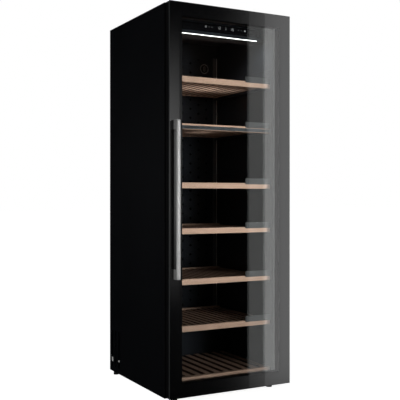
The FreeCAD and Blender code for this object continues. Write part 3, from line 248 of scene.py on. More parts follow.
# %% Cards round the cooler
# Each row gives a card's name, centre, target, width and height, and radiance.
SHEEN_CARDS = (
    ("handle_sheen", (0.82, -2.75, 1.09), (-0.2, -2.3, 1.09), (0.4, 2.3), 1.48),
    ("left_sheen", (-2.2, 2.4, 1.09), (-0.3, -0.3, 1.0), (0.9, 2.4), 0.08),
    ("far_left_sheen", (-4.6, -0.7, 0.2), (-0.3, 0, 0.8), (2.2, 4.4), 1.2),
    ("front_left_sheen", (-3.7, -3.3, 0.2), (-0.3, 0, 0.6), (1.8, 4.4), 1.3),
    ("right_sheen", (4.2, 0.6, 0.6), (0.3, 0, 0.8), (2.4, 4.6), 2.6),
    ("rear_right_sheen", (3.2, 3.7, 0.2), (0, 0.34, 0.6), (2.4, 4.4), 2.4),
    ("rear_left_sheen", (-4.6, 1.2, 0.4), (0, 0.34, 0.6), (1.4, 4.2), 0.4),
    ("top_sheen", (0.2, 1.4, 4.6), (0, 0, 1.6), (4.2, 3.6), 1.6),
)
for row in SHEEN_CARDS:
    glowing_card(*row)

# Each row gives a band's name, left end, right end and radiance.
BANDS = (("dim_band", 1.789, 1.949, 0.48), ("bright_band", 1.949, 3.3, 1.55))
BAND_Y, BAND_CENTRE, BAND_HEIGHT = -3.0, 0.925, 4.25
BAND_STEADY = 0.72
for name, left, right, radiance in BANDS:
    middle = (left + right) / 2
    glowing_card(name, (middle, BAND_Y, BAND_CENTRE), (middle, 0, BAND_CENTRE),
                 (right - left, BAND_HEIGHT), radiance, BAND_STEADY)
print(len(SHEEN_CARDS), "sheen cards,", len(BANDS), "bands")

# %% [markdown]
# ## Lamps
# Matt surfaces are lit by lamps that mirrors do not see. The main one has a grid, whose narrow beam
# comes level from the front right: it lights the shelf fronts and leaves the shelf tops and the right
# half of the rear wall dark. Two slanted strips inside the second space light the underside of the
# top shelf from the right, and one lamp far to the left lifts the sides of the handle. A thin lamp
# under the light strip shines straight down, because a lamp is a cleaner source than a glowing mesh.
# The last one stands behind the cooler and is linked to the rear's pieces alone.

# %% Lamps round the cooler
def matt_lamp(name, centre, target, size, radiance, beam=180):
    """A rectangular lamp aimed at a point, not seen by mirrors; its beam may be narrow."""
    data = bpy.data.lights.new(name, "AREA")
    data.shape = "RECTANGLE"
    data.size, data.size_y = size
    data.energy = radiance * math.pi * size[0] * size[1]
    data.spread = math.radians(beam)
    lamp = bpy.data.objects.new(name, data)
    aim(lamp, centre, target)
    lamp.visible_camera = False
    lamp.visible_glossy = False
    scene.collection.objects.link(lamp)
    return lamp


matt_lamp("front_lamp", centre=(1.05, -2.7, 0.96), target=(0, -0.245, 0.93),
          size=(0.8, 1.4), radiance=1.72, beam=34)
matt_lamp("left_lamp", centre=(-3.2, 0.4, 1.2), target=(-0.3, 0, 0.9),
          size=(0.8, 1.6), radiance=6.5)
print("front lamp and left lamp placed")

# %% Lamps inside the cooler
SHELF_LAMP_Y, SHELF_LAMP_Z, SHELF_LIT_Z = -0.02, 1.20, 1.37
SHELF_LAMP_SLANT = 0.1
SHELF_LAMP_XS = (-0.06, 0.14)
for k, x in enumerate(SHELF_LAMP_XS, start=1):
    matt_lamp(f"shelf_lamp_{k}", (x, SHELF_LAMP_Y, SHELF_LAMP_Z),
              (x - SHELF_LAMP_SLANT, SHELF_LAMP_Y, SHELF_LIT_Z),
              size=(0.12, 0.38), radiance=0.72, beam=60)
STRIP_CLEARANCE, STRIP_REACH = 0.001, 0.6
low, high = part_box("led_diffuser")
strip_middle, strip_under = (low.y + high.y) / 2, low.z - STRIP_CLEARANCE
matt_lamp("strip_lamp", (0, strip_middle, strip_under), (0, strip_middle, strip_under - STRIP_REACH),
          size=(0.40, 0.010), radiance=110.0, beam=156)
print("strip lamp at height", round(strip_under, 4))

# %% Lamp for the rear
REAR_PIECES = ("back_panel", "machine_cover", "power_inlet", "rear_feet")
rear_lamp = matt_lamp("rear_lamp", centre=(1.4, 3.4, 1.7), target=(0, 0.34, 0.8),
                      size=(1.6, 2.2), radiance=4.0)
rear_sheets = bpy.data.collections.new("rear_sheets")
rear_lamp.light_linking.receiver_collection = rear_sheets
for name in REAR_PIECES:
    rear_sheets.objects.link(solids[name])

# %% [markdown]
# ## Fine grain
# Nearly every surface here has a fine grain and a slow change over its area: paint has orange peel,
# moulded plastic a spark-eroded grain, steel its brush lines. One node group gives both, and a
# stretch draws the grain out into lines.

# %% Fine grain group
def node_group(name, inputs, outputs):
    """An empty shader group with named sockets, and its two end nodes."""
    group = bpy.data.node_groups.new(name, "ShaderNodeTree")
    for label, kind, default in inputs:
        socket = group.interface.new_socket(label, in_out="INPUT", socket_type=kind)
        socket.default_value = default
    for label, kind in outputs:
        group.interface.new_socket(label, in_out="OUTPUT", socket_type=kind)
    return group, group.nodes.new("NodeGroupInput"), group.nodes.new("NodeGroupOutput")


def stretched_place(tree, stretch):
    """The surface's place, stretched along each axis."""
    place = put(tree, "ShaderNodeTexCoord").outputs["Object"]
    return put(tree, "ShaderNodeVectorMath", {0: place, 1: stretch}, operation="MULTIPLY").outputs[0]


NUMBER, VECTOR, COLOUR = "NodeSocketFloat", "NodeSocketVector", "NodeSocketColor"
fine_grain, given, result = node_group(
    "fine_grain",
    [("Scale", NUMBER, 800.0), ("Stretch", VECTOR, (1, 1, 1)), ("Blotch Scale", NUMBER, 6.0)],
    [("Height", NUMBER), ("Blotch", NUMBER)])
drawn = stretched_place(fine_grain, given.outputs["Stretch"])
grain = put(fine_grain, "ShaderNodeTexNoise", {
    "Vector": drawn, "Scale": given.outputs["Scale"], "Detail": 2.0, "Roughness": 0.55})
blotch = put(fine_grain, "ShaderNodeTexNoise", {
    "Vector": drawn, "Scale": given.outputs["Blotch Scale"], "Detail": 3.0})
fine_grain.links.new(grain.outputs[0], result.inputs["Height"])
fine_grain.links.new(blotch.outputs[0], result.inputs["Blotch"])
print("group", fine_grain.name)

# %% Finish built on the grain
GRAIN_DEPTH = 0.0004
NOISE_SPAN = (0.3, 0.7)


def place_grain(tree, **values):
    """The fine grain group in a finish, with some of its inputs set."""
    group = put(tree, "ShaderNodeGroup", node_tree=fine_grain)
    for label, value in values.items():
        group.inputs[label.replace("_", " ")].default_value = value
    return group.outputs


def grained_finish(name, dark, light, roughness, spread, grain, relief, stretch=(1, 1, 1), blotch=6.0,
                   metallic=0.0, specular=0.5):
    """A surface whose colour and roughness wander with the blotches and whose relief is the grain."""
    material, tree, outlet = blank_material(name)
    surface = place_grain(tree, Scale=grain, Stretch=stretch, Blotch_Scale=blotch)
    rough = carry_over(tree, surface["Blotch"], *NOISE_SPAN, roughness - spread, roughness + spread)
    bump = put(tree, "ShaderNodeBump", {
        "Height": surface["Height"], "Strength": relief, "Distance": GRAIN_DEPTH})
    shader = put(tree, "ShaderNodeBsdfPrincipled", {
        "Base Color": mix_colours(tree, surface["Blotch"], (*dark, 1), (*light, 1)),
        "Roughness": rough, "Normal": bump.outputs[0],
        "Metallic": metallic, "Specular IOR Level": specular})
    tree.links.new(shader.outputs[0], outlet.inputs["Surface"])
    return material


finishes = {}
print("finish helper ready")

# %% [markdown]
# ## Painted sheet and moulded black
# The cabinet is steel sheet with a satin black coat, and the liner, runners and control housing are
# moulded black plastic. All are near black, so the difference is in the grain: paint is smoother,
# plastic duller, rubber dullest. The sheets at the rear get a plainer, lighter black as painted
# light, so that the rear reads under its lamp. The foam between the walls is cream with coarse cells.

# %% Painted sheet
finishes["black_paint"] = grained_finish(
    "satin_black_paint", (0.0016, 0.0019, 0.0028), (0.0026, 0.0030, 0.0042),
    roughness=0.43, spread=0.02, grain=900.0, relief=0.12)
finishes["frame_black"] = grained_finish(
    "satin_black_frame", (0.003, 0.003, 0.0035), (0.005, 0.005, 0.0055),
    roughness=0.40, spread=0.03, grain=1200.0, relief=0.05, specular=0.15)
finishes["compressor_paint"] = grained_finish(
    "dipped_black_paint", (0.012, 0.012, 0.012), (0.025, 0.025, 0.025),
    roughness=0.30, spread=0.08, grain=160.0, relief=0.4)
# Painted light: the rear sheets get a lighter black than the sides' paint, so that they read under the
# rear lamp.
rear_paint_lightened = grained_finish(
    "lightened_rear_paint", (0.020, 0.021, 0.023), (0.030, 0.031, 0.034),
    roughness=0.46, spread=0.05, grain=700.0, relief=0.15)
print(len(finishes), "finishes so far")

# %% Plastic, rubber and foam
finishes["liner_plastic"] = grained_finish(
    "moulded_black_liner", (0.0165, 0.0190, 0.0240), (0.0235, 0.0265, 0.0325),
    roughness=0.50, spread=0.06, grain=1500.0, relief=0.25)
finishes["black_plastic"] = grained_finish(
    "matt_black_plastic", (0.010, 0.010, 0.010), (0.018, 0.018, 0.018),
    roughness=0.58, spread=0.06, grain=1300.0, relief=0.3)
finishes["rubber"] = grained_finish(
    "black_rubber", (0.012, 0.012, 0.012), (0.022, 0.021, 0.020),
    roughness=0.75, spread=0.08, grain=700.0, relief=0.35)
finishes["tag_plastic"] = grained_finish(
    "grey_tag_plastic", (0.045, 0.046, 0.048), (0.070, 0.071, 0.074),
    roughness=0.42, spread=0.05, grain=1400.0, relief=0.15)
finishes["foam"] = grained_finish(
    "rigid_foam", (0.62, 0.52, 0.30), (0.80, 0.70, 0.44),
    roughness=0.9, spread=0.05, grain=420.0, relief=0.8, blotch=20.0)
print(len(finishes), "finishes so far")

# %% [markdown]
# ## Metals
# The handle and its posts are steel brushed along their length, the second shelf's strip is brushed
# along the shelf, and screws and brackets are zinc plated. The cooling plate and its tube are coated
# black. Brushing is the fine grain drawn out along one axis.

# %% Metals
ALONG_Z = (60.0, 60.0, 0.8)
ALONG_X = (0.8, 60.0, 60.0)
finishes["handle_steel"] = grained_finish(
    "brushed_handle_steel", (0.50, 0.50, 0.495), (0.66, 0.655, 0.65),
    roughness=0.32, spread=0.07, grain=30.0, relief=0.08, stretch=ALONG_Z, blotch=22.0, metallic=0.6)
finishes["trim_steel"] = grained_finish(
    "brushed_grey_strip", (0.20, 0.22, 0.25), (0.30, 0.33, 0.37),
    roughness=0.38, spread=0.06, grain=30.0, relief=0.08, stretch=ALONG_X, blotch=22.0, metallic=1.0)
finishes["fixing_steel"] = grained_finish(
    "zinc_plate", (0.46, 0.46, 0.45), (0.62, 0.62, 0.63),
    roughness=0.36, spread=0.08, grain=400.0, relief=0.15, blotch=60.0, metallic=1.0)
finishes["cooling_metal"] = grained_finish(
    "black_coated_aluminium", (0.0006, 0.0006, 0.0006), (0.0014, 0.0014, 0.0014),
    roughness=0.6, spread=0.08, grain=25.0, relief=0.08, stretch=ALONG_Z, blotch=9.0, specular=0.05)
finishes["tube_metal"] = grained_finish(
    "black_coated_tube", (0.010, 0.010, 0.010), (0.022, 0.022, 0.022),
    roughness=0.42, spread=0.06, grain=700.0, relief=0.2)
print(len(finishes), "finishes so far")

# %% [markdown]
# ## Wood
# Bars and slats are planed beech under a clear satin coat. Its grain is long streaks with short dark
# pores, and no two boards have the same tone. Noise drawn out along the board gives the streaks, a
# finer one the pores, and a third that changes only across the boards gives each its tone. Bars run
# across the cooler, slats run to the rear. The slats' narrow left and right sides are darkened as
# painted shade, for the shade that falls in the gaps, which sets the slats apart.

# %% Wood grain group
PALE_WOOD, WARM_WOOD = (0.66, 0.445, 0.34, 1), (0.56, 0.365, 0.272, 1)
DARK_WOOD = (0.36, 0.215, 0.15, 1)
PORE_FINENESS = 7.0
STREAK_SPAN, PORE_SPAN, PORE_SHARES = (0.32, 0.68), (0.56, 0.70), (0.0, 0.55)
TONE_LEVELS = (0.93, 1.05)
beech_grain, given, result = node_group(
    "beech_grain",
    [("Streak Stretch", VECTOR, (1, 1, 1)), ("Board Stretch", VECTOR, (1, 1, 1))],
    [("Color", COLOUR), ("Pores", NUMBER)])
drawn = stretched_place(beech_grain, given.outputs["Streak Stretch"])
board = stretched_place(beech_grain, given.outputs["Board Stretch"])
streaks = put(beech_grain, "ShaderNodeTexNoise", {
    "Vector": drawn, "Scale": 1.0, "Detail": 5.0, "Roughness": 0.6, "Distortion": 0.5})
pores = put(beech_grain, "ShaderNodeTexNoise", {
    "Vector": drawn, "Scale": PORE_FINENESS, "Detail": 2.0, "Roughness": 0.5})
tone = put(beech_grain, "ShaderNodeTexNoise", {"Vector": board, "Scale": 1.0, "Detail": 1.0})
streak_share = carry_over(beech_grain, streaks.outputs[0], *STREAK_SPAN)
pore_share = carry_over(beech_grain, pores.outputs[0], *PORE_SPAN, *PORE_SHARES)
tone_level = carry_over(beech_grain, tone.outputs[0], *NOISE_SPAN, *TONE_LEVELS)
streaked = mix_colours(beech_grain, streak_share, WARM_WOOD, PALE_WOOD)
pored = mix_colours(beech_grain, pore_share, streaked, DARK_WOOD)
toned = put(beech_grain, "ShaderNodeVectorMath", {0: pored, "Scale": tone_level}, operation="SCALE")
beech_grain.links.new(toned.outputs[0], result.inputs["Color"])
beech_grain.links.new(pore_share, result.inputs["Pores"])
print("group", beech_grain.name)

# %% Wood finishes
# Painted shade: the colour that the slats' left and right sides are darkened towards, for the shade in
# the gaps.
SIDE_SHADE_COLOUR = (0.045, 0.028, 0.022, 1)
SIDEWAYS_SPAN, SIDE_SHADE_SHARES = (0.6, 0.9), (0.0, 0.85)
FULL_SPAN = (0.0, 1.0)
BEECH_ROUGHNESS = (0.46, 0.66)
PORE_DEPTH = 0.0003


def beech_finish(name, streak_stretch, board_stretch, painted_side_shade):
    """Beech whose grain runs along the axis stretched least; its left and right sides may carry painted
    shade.
    """
    material, tree, outlet = blank_material(name)
    group = put(tree, "ShaderNodeGroup", node_tree=beech_grain)
    group.inputs["Streak Stretch"].default_value = streak_stretch
    group.inputs["Board Stretch"].default_value = board_stretch
    colour = group.outputs["Color"]
    # Painted shade: faces that point left or right are darkened.
    if painted_side_shade:
        sideways = reckon(tree, "ABSOLUTE", along_axis(tree, "Normal", X))
        side_shade = carry_over(tree, sideways, *SIDEWAYS_SPAN, *SIDE_SHADE_SHARES)
        colour = mix_colours(tree, side_shade, colour, SIDE_SHADE_COLOUR)
    rough = carry_over(tree, group.outputs["Pores"], *FULL_SPAN, *BEECH_ROUGHNESS)
    bump = put(tree, "ShaderNodeBump", {
        "Height": group.outputs["Pores"], "Strength": 0.3, "Distance": -PORE_DEPTH})
    shader = put(tree, "ShaderNodeBsdfPrincipled", {
        "Base Color": colour, "Roughness": rough, "Normal": bump.outputs[0],
        "Specular IOR Level": 0.35})
    tree.links.new(shader.outputs[0], outlet.inputs["Surface"])
    return material


finishes["wood"] = beech_finish(
    "beech_along_the_shelf", streak_stretch=(7.0, 120.0, 120.0), board_stretch=(0.5, 2.0, 9.0),
    painted_side_shade=False)
beech_slats = beech_finish(
    "beech_to_the_rear", streak_stretch=(120.0, 7.0, 120.0), board_stretch=(34.0, 0.4, 9.0),
    painted_side_shade=True)
print("wood", finishes["wood"].name, beech_slats.name)

# %% [markdown]
# ## Glass
# The door has two clear panes. A pane only 4 mm thick hardly bends the view, so it is built as a
# clear layer with a mirror over it whose share grows towards grazing angles, twice over for its two
# faces. Round the window the outer pane is printed black on its rear, so there it shows a satin black
# under a thin clear gloss. The cut edges are ground matt and catch the light as a pale line.

# %% Clear layer and printed layer
GLASS_INDEX = 1.5
GLASS_TINT = (0.955, 0.965, 0.96, 1)
PANE_FACES = 2.0
PRINT_ROUGHNESS = (0.15, 0.19)
PRINT_DARK, PRINT_LIGHT = (0.0015, 0.0015, 0.0018, 1), (0.0025, 0.0025, 0.0028, 1)


def clear_layer(tree):
    """A see-through layer whose mirror counts both faces of the pane."""
    fresnel = put(tree, "ShaderNodeFresnel", {"IOR": GLASS_INDEX}).outputs[0]
    back = put(tree, "ShaderNodeNewGeometry").outputs["Backfacing"]
    faces = reckon(tree, "SUBTRACT", PANE_FACES, reckon(tree, "MULTIPLY", back, PANE_FACES))
    clear = put(tree, "ShaderNodeBsdfTransparent", {"Color": GLASS_TINT}).outputs[0]
    mirror = put(tree, "ShaderNodeBsdfGlossy", {"Roughness": 0.0}).outputs[0]
    share = reckon(tree, "MULTIPLY", fresnel, faces)
    return put(tree, "ShaderNodeMixShader", {0: share, 1: clear, 2: mirror}).outputs[0]


def printed_layer(tree):
    """Satin black print seen through the glass's own gloss."""
    surface = place_grain(tree, Blotch_Scale=3.0)
    return put(tree, "ShaderNodeBsdfPrincipled", {
        "Base Color": mix_colours(tree, surface["Blotch"], PRINT_DARK, PRINT_LIGHT),
        "Roughness": carry_over(tree, surface["Blotch"], *FULL_SPAN, *PRINT_ROUGHNESS),
        "Specular IOR Level": 0.6,
        "Coat Weight": 0.6, "Coat Roughness": 0.0, "Coat IOR": GLASS_INDEX}).outputs[0]


print("glass index", GLASS_INDEX)

# %% Panes
WINDOW_HALF, WINDOW_LOW, WINDOW_HIGH = 0.2395, 0.083, 1.592
GROUND_DARK, GROUND_LIGHT = (0.08, 0.09, 0.09, 1), (0.14, 0.15, 0.15, 1)
EDGE_FACING = 0.5


def window_share(tree):
    """1 inside the window that the print leaves clear, otherwise 0."""
    across, height = along_axis(tree, "Object", X), along_axis(tree, "Object", Z)
    inside = reckon(tree, "LESS_THAN", reckon(tree, "ABSOLUTE", across), WINDOW_HALF)
    above = reckon(tree, "GREATER_THAN", height, WINDOW_LOW)
    below = reckon(tree, "LESS_THAN", height, WINDOW_HIGH)
    return reckon(tree, "MULTIPLY", inside, reckon(tree, "MULTIPLY", above, below))


def pane_glass(name, printed):
    """Thin glass with ground edges, with or without a printed border."""
    material, tree, outlet = blank_material(name)
    face = clear_layer(tree)
    if printed:
        layers = {0: window_share(tree), 1: printed_layer(tree), 2: face}
        face = put(tree, "ShaderNodeMixShader", layers).outputs[0]
    surface = place_grain(tree)
    ground = put(tree, "ShaderNodeBsdfPrincipled", {
        "Base Color": mix_colours(tree, surface["Height"], GROUND_DARK, GROUND_LIGHT), "Roughness": 0.5})
    forwards = reckon(tree, "ABSOLUTE", along_axis(tree, "Normal", Y))
    edge = reckon(tree, "LESS_THAN", forwards, EDGE_FACING)
    whole = put(tree, "ShaderNodeMixShader", {0: edge, 1: face, 2: ground.outputs[0]})
    tree.links.new(whole.outputs[0], outlet.inputs["Surface"])
    return material


finishes["clear_glass"] = pane_glass("clear_glass", printed=False)
printed_glass = pane_glass("printed_glass", printed=True)
for name in ("outer_glass", "inner_glass"):
    solids[name].visible_shadow = False
print("panes", finishes["clear_glass"].name, printed_glass.name)

# %% [markdown]
# ## Lit and polished pieces
# The light strip is a milky cover over a row of small lamps, a little brighter over each. The touch
# panel is polished black, with faint smears that show only in its gloss.

# %% Light strip and touch panel
STRIP_LAMP_PITCH = 0.025
STRIP_DIM = (0.86, 0.88, 0.90, 1)
STRIP_GLOW = 5.0
light_strip, tree, outlet = blank_material("milky_light_strip")
turn = reckon(tree, "MULTIPLY", along_axis(tree, "Object", X), math.tau / STRIP_LAMP_PITCH)
lamp_share = carry_over(tree, reckon(tree, "COSINE", turn), -1.0, 1.0)
strip_colour = mix_colours(tree, lamp_share, STRIP_DIM, WHITE)
shader = put(tree, "ShaderNodeBsdfPrincipled", {
    "Base Color": strip_colour, "Roughness": 0.4, "Emission Color": strip_colour,
    "Emission Strength": STRIP_GLOW})
tree.links.new(shader.outputs[0], outlet.inputs["Surface"])
light_strip.cycles.emission_sampling = "NONE"
finishes["light_strip"] = light_strip
finishes["black_gloss"] = grained_finish(
    "polished_black_panel", (0.004, 0.004, 0.005), (0.007, 0.007, 0.008),
    roughness=0.12, spread=0.06, grain=300.0, relief=0.01, blotch=30.0)
print(len(finishes), "finishes in all")

# %% [markdown]
# ## Dressing the solids
# The record says which finish each solid has. The slats share the wood finish, but their grain runs
# to the rear and their left and right sides carry painted shade, and the rear sheets get a lighter
# black as painted light. Real edges are never razor sharp, so a small bevel goes on the pieces whose
# edges show. The imported meshes are split along their edges, so a weld comes first.

# %% Assign the finishes
def dress(name, material):
    """Gives a solid its finish."""
    solids[name].material_slots[0].material = material


for part in frame["record"]["subparts"]:
    dress(part["node"], finishes[part["material_slot"]])
for name in solids:
    if name.endswith("_slats"):
        dress(name, beech_slats)
dress("outer_glass", printed_glass)
for name in ("back_panel", "machine_cover"):
    dress(name, rear_paint_lightened)

# %% Soften the edges
SOFT_EDGES = {"_front_bar": 0.0015, "_slats": 0.0008, "_label_holder": 0.0003, "_side_panel": 0.0004}
WELD_REACH = 0.00002
EDGE_SEGMENTS = 2
SHARP_ANGLE = math.radians(40)


def soften(name, width):
    """Rounds a solid's sharp edges a little."""
    weld = solids[name].modifiers.new("weld", "WELD")
    weld.merge_threshold = WELD_REACH
    bevel = solids[name].modifiers.new("soft_edges", "BEVEL")
    bevel.width = width
    bevel.segments = EDGE_SEGMENTS
    bevel.limit_method = "ANGLE"
    bevel.angle_limit = SHARP_ANGLE


softened = 0
for name in sorted(solids):
    for ending, width in SOFT_EDGES.items():
        if name.endswith(ending):
            soften(name, width)
            softened += 1
print(softened, "solids softened")

# %% [markdown]
# ## Control marks
# Behind the touch panel's polished face small lamps show two readouts and a row of signs. They could
# be painted on by a mask in the panel's finish, but thin raised shapes stay sharp at any distance:
# seven-bar digits, a power sign, arrows and dots.

# %% Shapes for the marks
BAR_WIDTH = 0.0013
DIGIT_WIDTH, DIGIT_HEIGHT = 0.0058, 0.0105
BARS_LIT = {"1": "bc", "2": "abged", "6": "afgedc"}


def bar_outline(x0, z0, x1, z1):
    """A six-cornered bar between two points, level or upright."""
    along = Vector((x1 - x0, z1 - z0)).normalized() * (BAR_WIDTH / 2)
    across = Vector((-along.y, along.x))
    a, b = Vector((x0, z0)), Vector((x1, z1))
    return [a, a + along + across, b - along + across, b, b - along - across, a + along - across]


def digit_outlines(sign, left, low):
    """The lit bars of one digit."""
    right, middle, high = left + DIGIT_WIDTH, low + DIGIT_HEIGHT / 2, low + DIGIT_HEIGHT
    bars = {"a": (left, high, right, high), "b": (right, middle, right, high),
            "c": (right, low, right, middle), "d": (left, low, right, low),
            "e": (left, low, left, middle), "f": (left, middle, left, high),
            "g": (left, middle, right, middle)}
    return [bar_outline(*bars[bar]) for bar in BARS_LIT[sign]]


def arc_points(x, z, radius, turns):
    """Points on a circle at the given turns, in radians."""
    return [Vector((x + radius * math.cos(t), z + radius * math.sin(t))) for t in turns]


def disc_outline(x, z, radius, corners=20):
    """A small round dot."""
    return arc_points(x, z, radius, [math.tau * k / corners for k in range(corners)])


def ring_outline(x, z, radius, width, start, end, steps=24):
    """Part of a ring from one angle to another, in degrees."""
    turns = [math.radians(start + (end - start) * k / steps) for k in range(steps + 1)]
    return arc_points(x, z, radius, turns) + arc_points(x, z, radius - width, turns)[::-1]


def arrow_outline(x, z, size, up):
    """A small triangle that points up or down."""
    tip = size if up else -size
    return [Vector((x - size, z - tip / 2)), Vector((x + size, z - tip / 2)), Vector((x, z + tip))]


print("digits", sorted(BARS_LIT))

# %% Finish of the marks
MARK_DIM = (0.75, 0.78, 0.82, 1)
UNLIT_DARK, UNLIT_LIGHT = (0.10, 0.10, 0.11, 1), (0.16, 0.16, 0.17, 1)
MARK_GLOW = 0.32
lit_mark, tree, outlet = blank_material("lit_mark")
surface = place_grain(tree, Blotch_Scale=300.0)
shader = put(tree, "ShaderNodeBsdfPrincipled", {
    "Base Color": mix_colours(tree, surface["Blotch"], UNLIT_DARK, UNLIT_LIGHT), "Roughness": 0.3,
    "Emission Color": mix_colours(tree, surface["Blotch"], MARK_DIM, WHITE),
    "Emission Strength": MARK_GLOW})
tree.links.new(shader.outputs[0], outlet.inputs["Surface"])
lit_mark.cycles.emission_sampling = "NONE"
print("mark glow", MARK_GLOW)

# %% Helper for new pieces
def new_piece(name, shape, material, body):
    """A mesh piece of the cooler that moves with a body."""
    bmesh.ops.recalc_face_normals(shape, faces=shape.faces)
    mesh = bpy.data.meshes.new(name)
    shape.to_mesh(mesh)
    shape.free()
    mesh.materials.append(material)
    piece = bpy.data.objects.new(name, mesh)
    scene.collection.objects.link(piece)
    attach(piece, body)


print("piece helper ready")

# %% Marks on the panel
PANEL_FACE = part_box("touch_panel")[0].y
MARK_DEPTH = 0.0003
MARK_ROW = 1.587
# Each readout's digits and middle, and how far from that middle its two digits start.
READOUTS = (("12", -0.004), ("16", 0.062))
DIGIT_STARTS = (-0.0092, 0.0020)
POWER_X, ARROWS_X = -0.070, 0.030
POWER_RADIUS, POWER_BAR = 0.0042, 0.0052
ARROW_LIFT, ARROW_SIZE = 0.0035, 0.0022
# Each dot's place across the panel and its radius.
DOTS = ((-0.054, 0.0014), (-0.040, 0.0012), (0.094, 0.0011), (0.110, 0.0012), (0.1284, 0.0040))


def raised_marks(name, outlines):
    """Thin shapes that stand on the touch panel's face."""
    shape = bmesh.new()
    for outline in outlines:
        rear = [shape.verts.new((p.x, PANEL_FACE, p.y)) for p in outline]
        lid = shape.faces.new(rear)
        raised = bmesh.ops.extrude_face_region(shape, geom=[lid])["geom"]
        tops = [item for item in raised if isinstance(item, bmesh.types.BMVert)]
        bmesh.ops.translate(shape, verts=tops, vec=(0, -MARK_DEPTH, 0))
    new_piece(name, shape, lit_mark, "cabinet")


digit_bars = []
for digits, middle in READOUTS:
    for digit, start in zip(digits, DIGIT_STARTS):
        digit_bars += digit_outlines(digit, middle + start, MARK_ROW - DIGIT_HEIGHT / 2)
raised_marks("temperature_readouts", digit_bars)
signs = [
    ring_outline(POWER_X, MARK_ROW, POWER_RADIUS, BAR_WIDTH, start=125, end=415),
    bar_outline(POWER_X, MARK_ROW, POWER_X, MARK_ROW + POWER_BAR),
    arrow_outline(ARROWS_X, MARK_ROW + ARROW_LIFT, ARROW_SIZE, up=True),
    arrow_outline(ARROWS_X, MARK_ROW - ARROW_LIFT, ARROW_SIZE, up=False),
]
signs += [disc_outline(x, MARK_ROW, radius) for x, radius in DOTS]
raised_marks("control_signs", signs)
print(len(digit_bars), "digit bars,", len(signs), "signs")

# %% [markdown]
# ## Corner trim and wall ribs
# A strip with a bright bead closes each rear corner beside the air panel, and a low rib runs along
# each side wall. The bead's pale colour is a painted highlight for the glint along the corner. Each
# is a drawn outline given a thickness, which is how such trim is extruded.

# %% Helper for drawn outlines
def prism(shape, outline, axis, start, end):
    """Adds an outline in the plane across an axis, given a thickness along it."""
    def corner(first, second, along):
        place = [first, second]
        place.insert(axis, along)
        return shape.verts.new(place)

    rings = [[corner(*point, along) for point in outline] for along in (start, end)]
    shape.faces.new(rings[0])
    shape.faces.new(rings[1])
    for k in range(len(outline)):
        after = (k + 1) % len(outline)
        shape.faces.new((rings[0][k], rings[0][after], rings[1][after], rings[1][k]))


def drawn_piece(name, outline, axis, start, end, material):
    """A cabinet piece made of one outline with a thickness."""
    shape = bmesh.new()
    prism(shape, outline, axis, start, end)
    new_piece(name, shape, material, "cabinet")


print("outline helper ready")

# %% Corner strips, beads and ribs
WALL_X, PANEL_FRONT = 0.2396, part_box("duct_panel")[0].y
STRIP_LOW, STRIP_HIGH = 0.270, 1.545
BEAD_RADIUS, BEAD_RISE, BEAD_STEPS = 0.0015, 0.0030, 8
RIB_FRONT, RIB_REAR = -0.235, 0.235
# The strip's section: place across the cooler, and rise over the air panel.
STRIP_SECTION = ((0.2160, 0.0), (0.2164, 0.0016), (0.2180, 0.0024), (0.2350, 0.0024),
                 (0.2358, 0.0016), (0.2358, 0.0))
# The rib's section: rise over the side wall, and height.
RIB_SECTION = ((0.0, 1.4165), (0.0008, 1.4170), (0.0012, 1.4180), (0.0008, 1.4190), (0.0, 1.4195))
strip_plastic = grained_finish(
    "strip_plastic", (0.09, 0.09, 0.095), (0.12, 0.12, 0.125),
    roughness=0.45, spread=0.06, grain=1500.0, relief=0.2)
# Pale nylon is the clips' own colour; on the corner beads the same pale colour is a painted highlight.
pale_nylon_and_painted_glint = grained_finish(
    "pale_nylon_and_painted_glint", (0.62, 0.62, 0.60), (0.76, 0.76, 0.74),
    roughness=0.45, spread=0.06, grain=900.0, relief=0.2)
half_turn = [math.pi * k / BEAD_STEPS for k in range(BEAD_STEPS + 1)]
for side, name in ((1, "right"), (-1, "left")):
    strip = [(side * x, PANEL_FRONT - rise) for x, rise in STRIP_SECTION]
    drawn_piece(f"{name}_corner_strip", strip, Z, STRIP_LOW, STRIP_HIGH, strip_plastic)
    # Painted highlight: the pale bead stands in for the glint along the corner.
    bead = [(side * (WALL_X - BEAD_RADIUS + BEAD_RADIUS * math.cos(t)),
             PANEL_FRONT - BEAD_RISE * math.sin(t)) for t in half_turn]
    drawn_piece(f"{name}_corner_painted_glint_bead", bead, Z, STRIP_LOW, STRIP_HIGH, pale_nylon_and_painted_glint)
    rib = [(side * (WALL_X - rise), z) for rise, z in RIB_SECTION]
    drawn_piece(f"{name}_wall_rib", rib, Y, RIB_FRONT, RIB_REAR,
                finishes["liner_plastic"])
print("corner strips", round(STRIP_HIGH - STRIP_LOW, 3), "m long")

# %% [markdown]
# ## Painted shade in the duct
# A near-black sheet lines the duct behind the air panel, so that the panel's small holes look dark:
# it is painted shade, standing in for the shade inside the duct. Each sheet is a flat outline with very
# little thickness.

# %% Painted shade sheets in the duct
DUCT_REAR, SHADE_SHEET_THICK, SHADE_SHEET_HALF = 0.2735, 0.0007, 0.236
DUCT_SHADE_SHEETS = (("lower_duct_felt", 0.290, 0.705), ("upper_duct_felt", 1.231, 1.540))
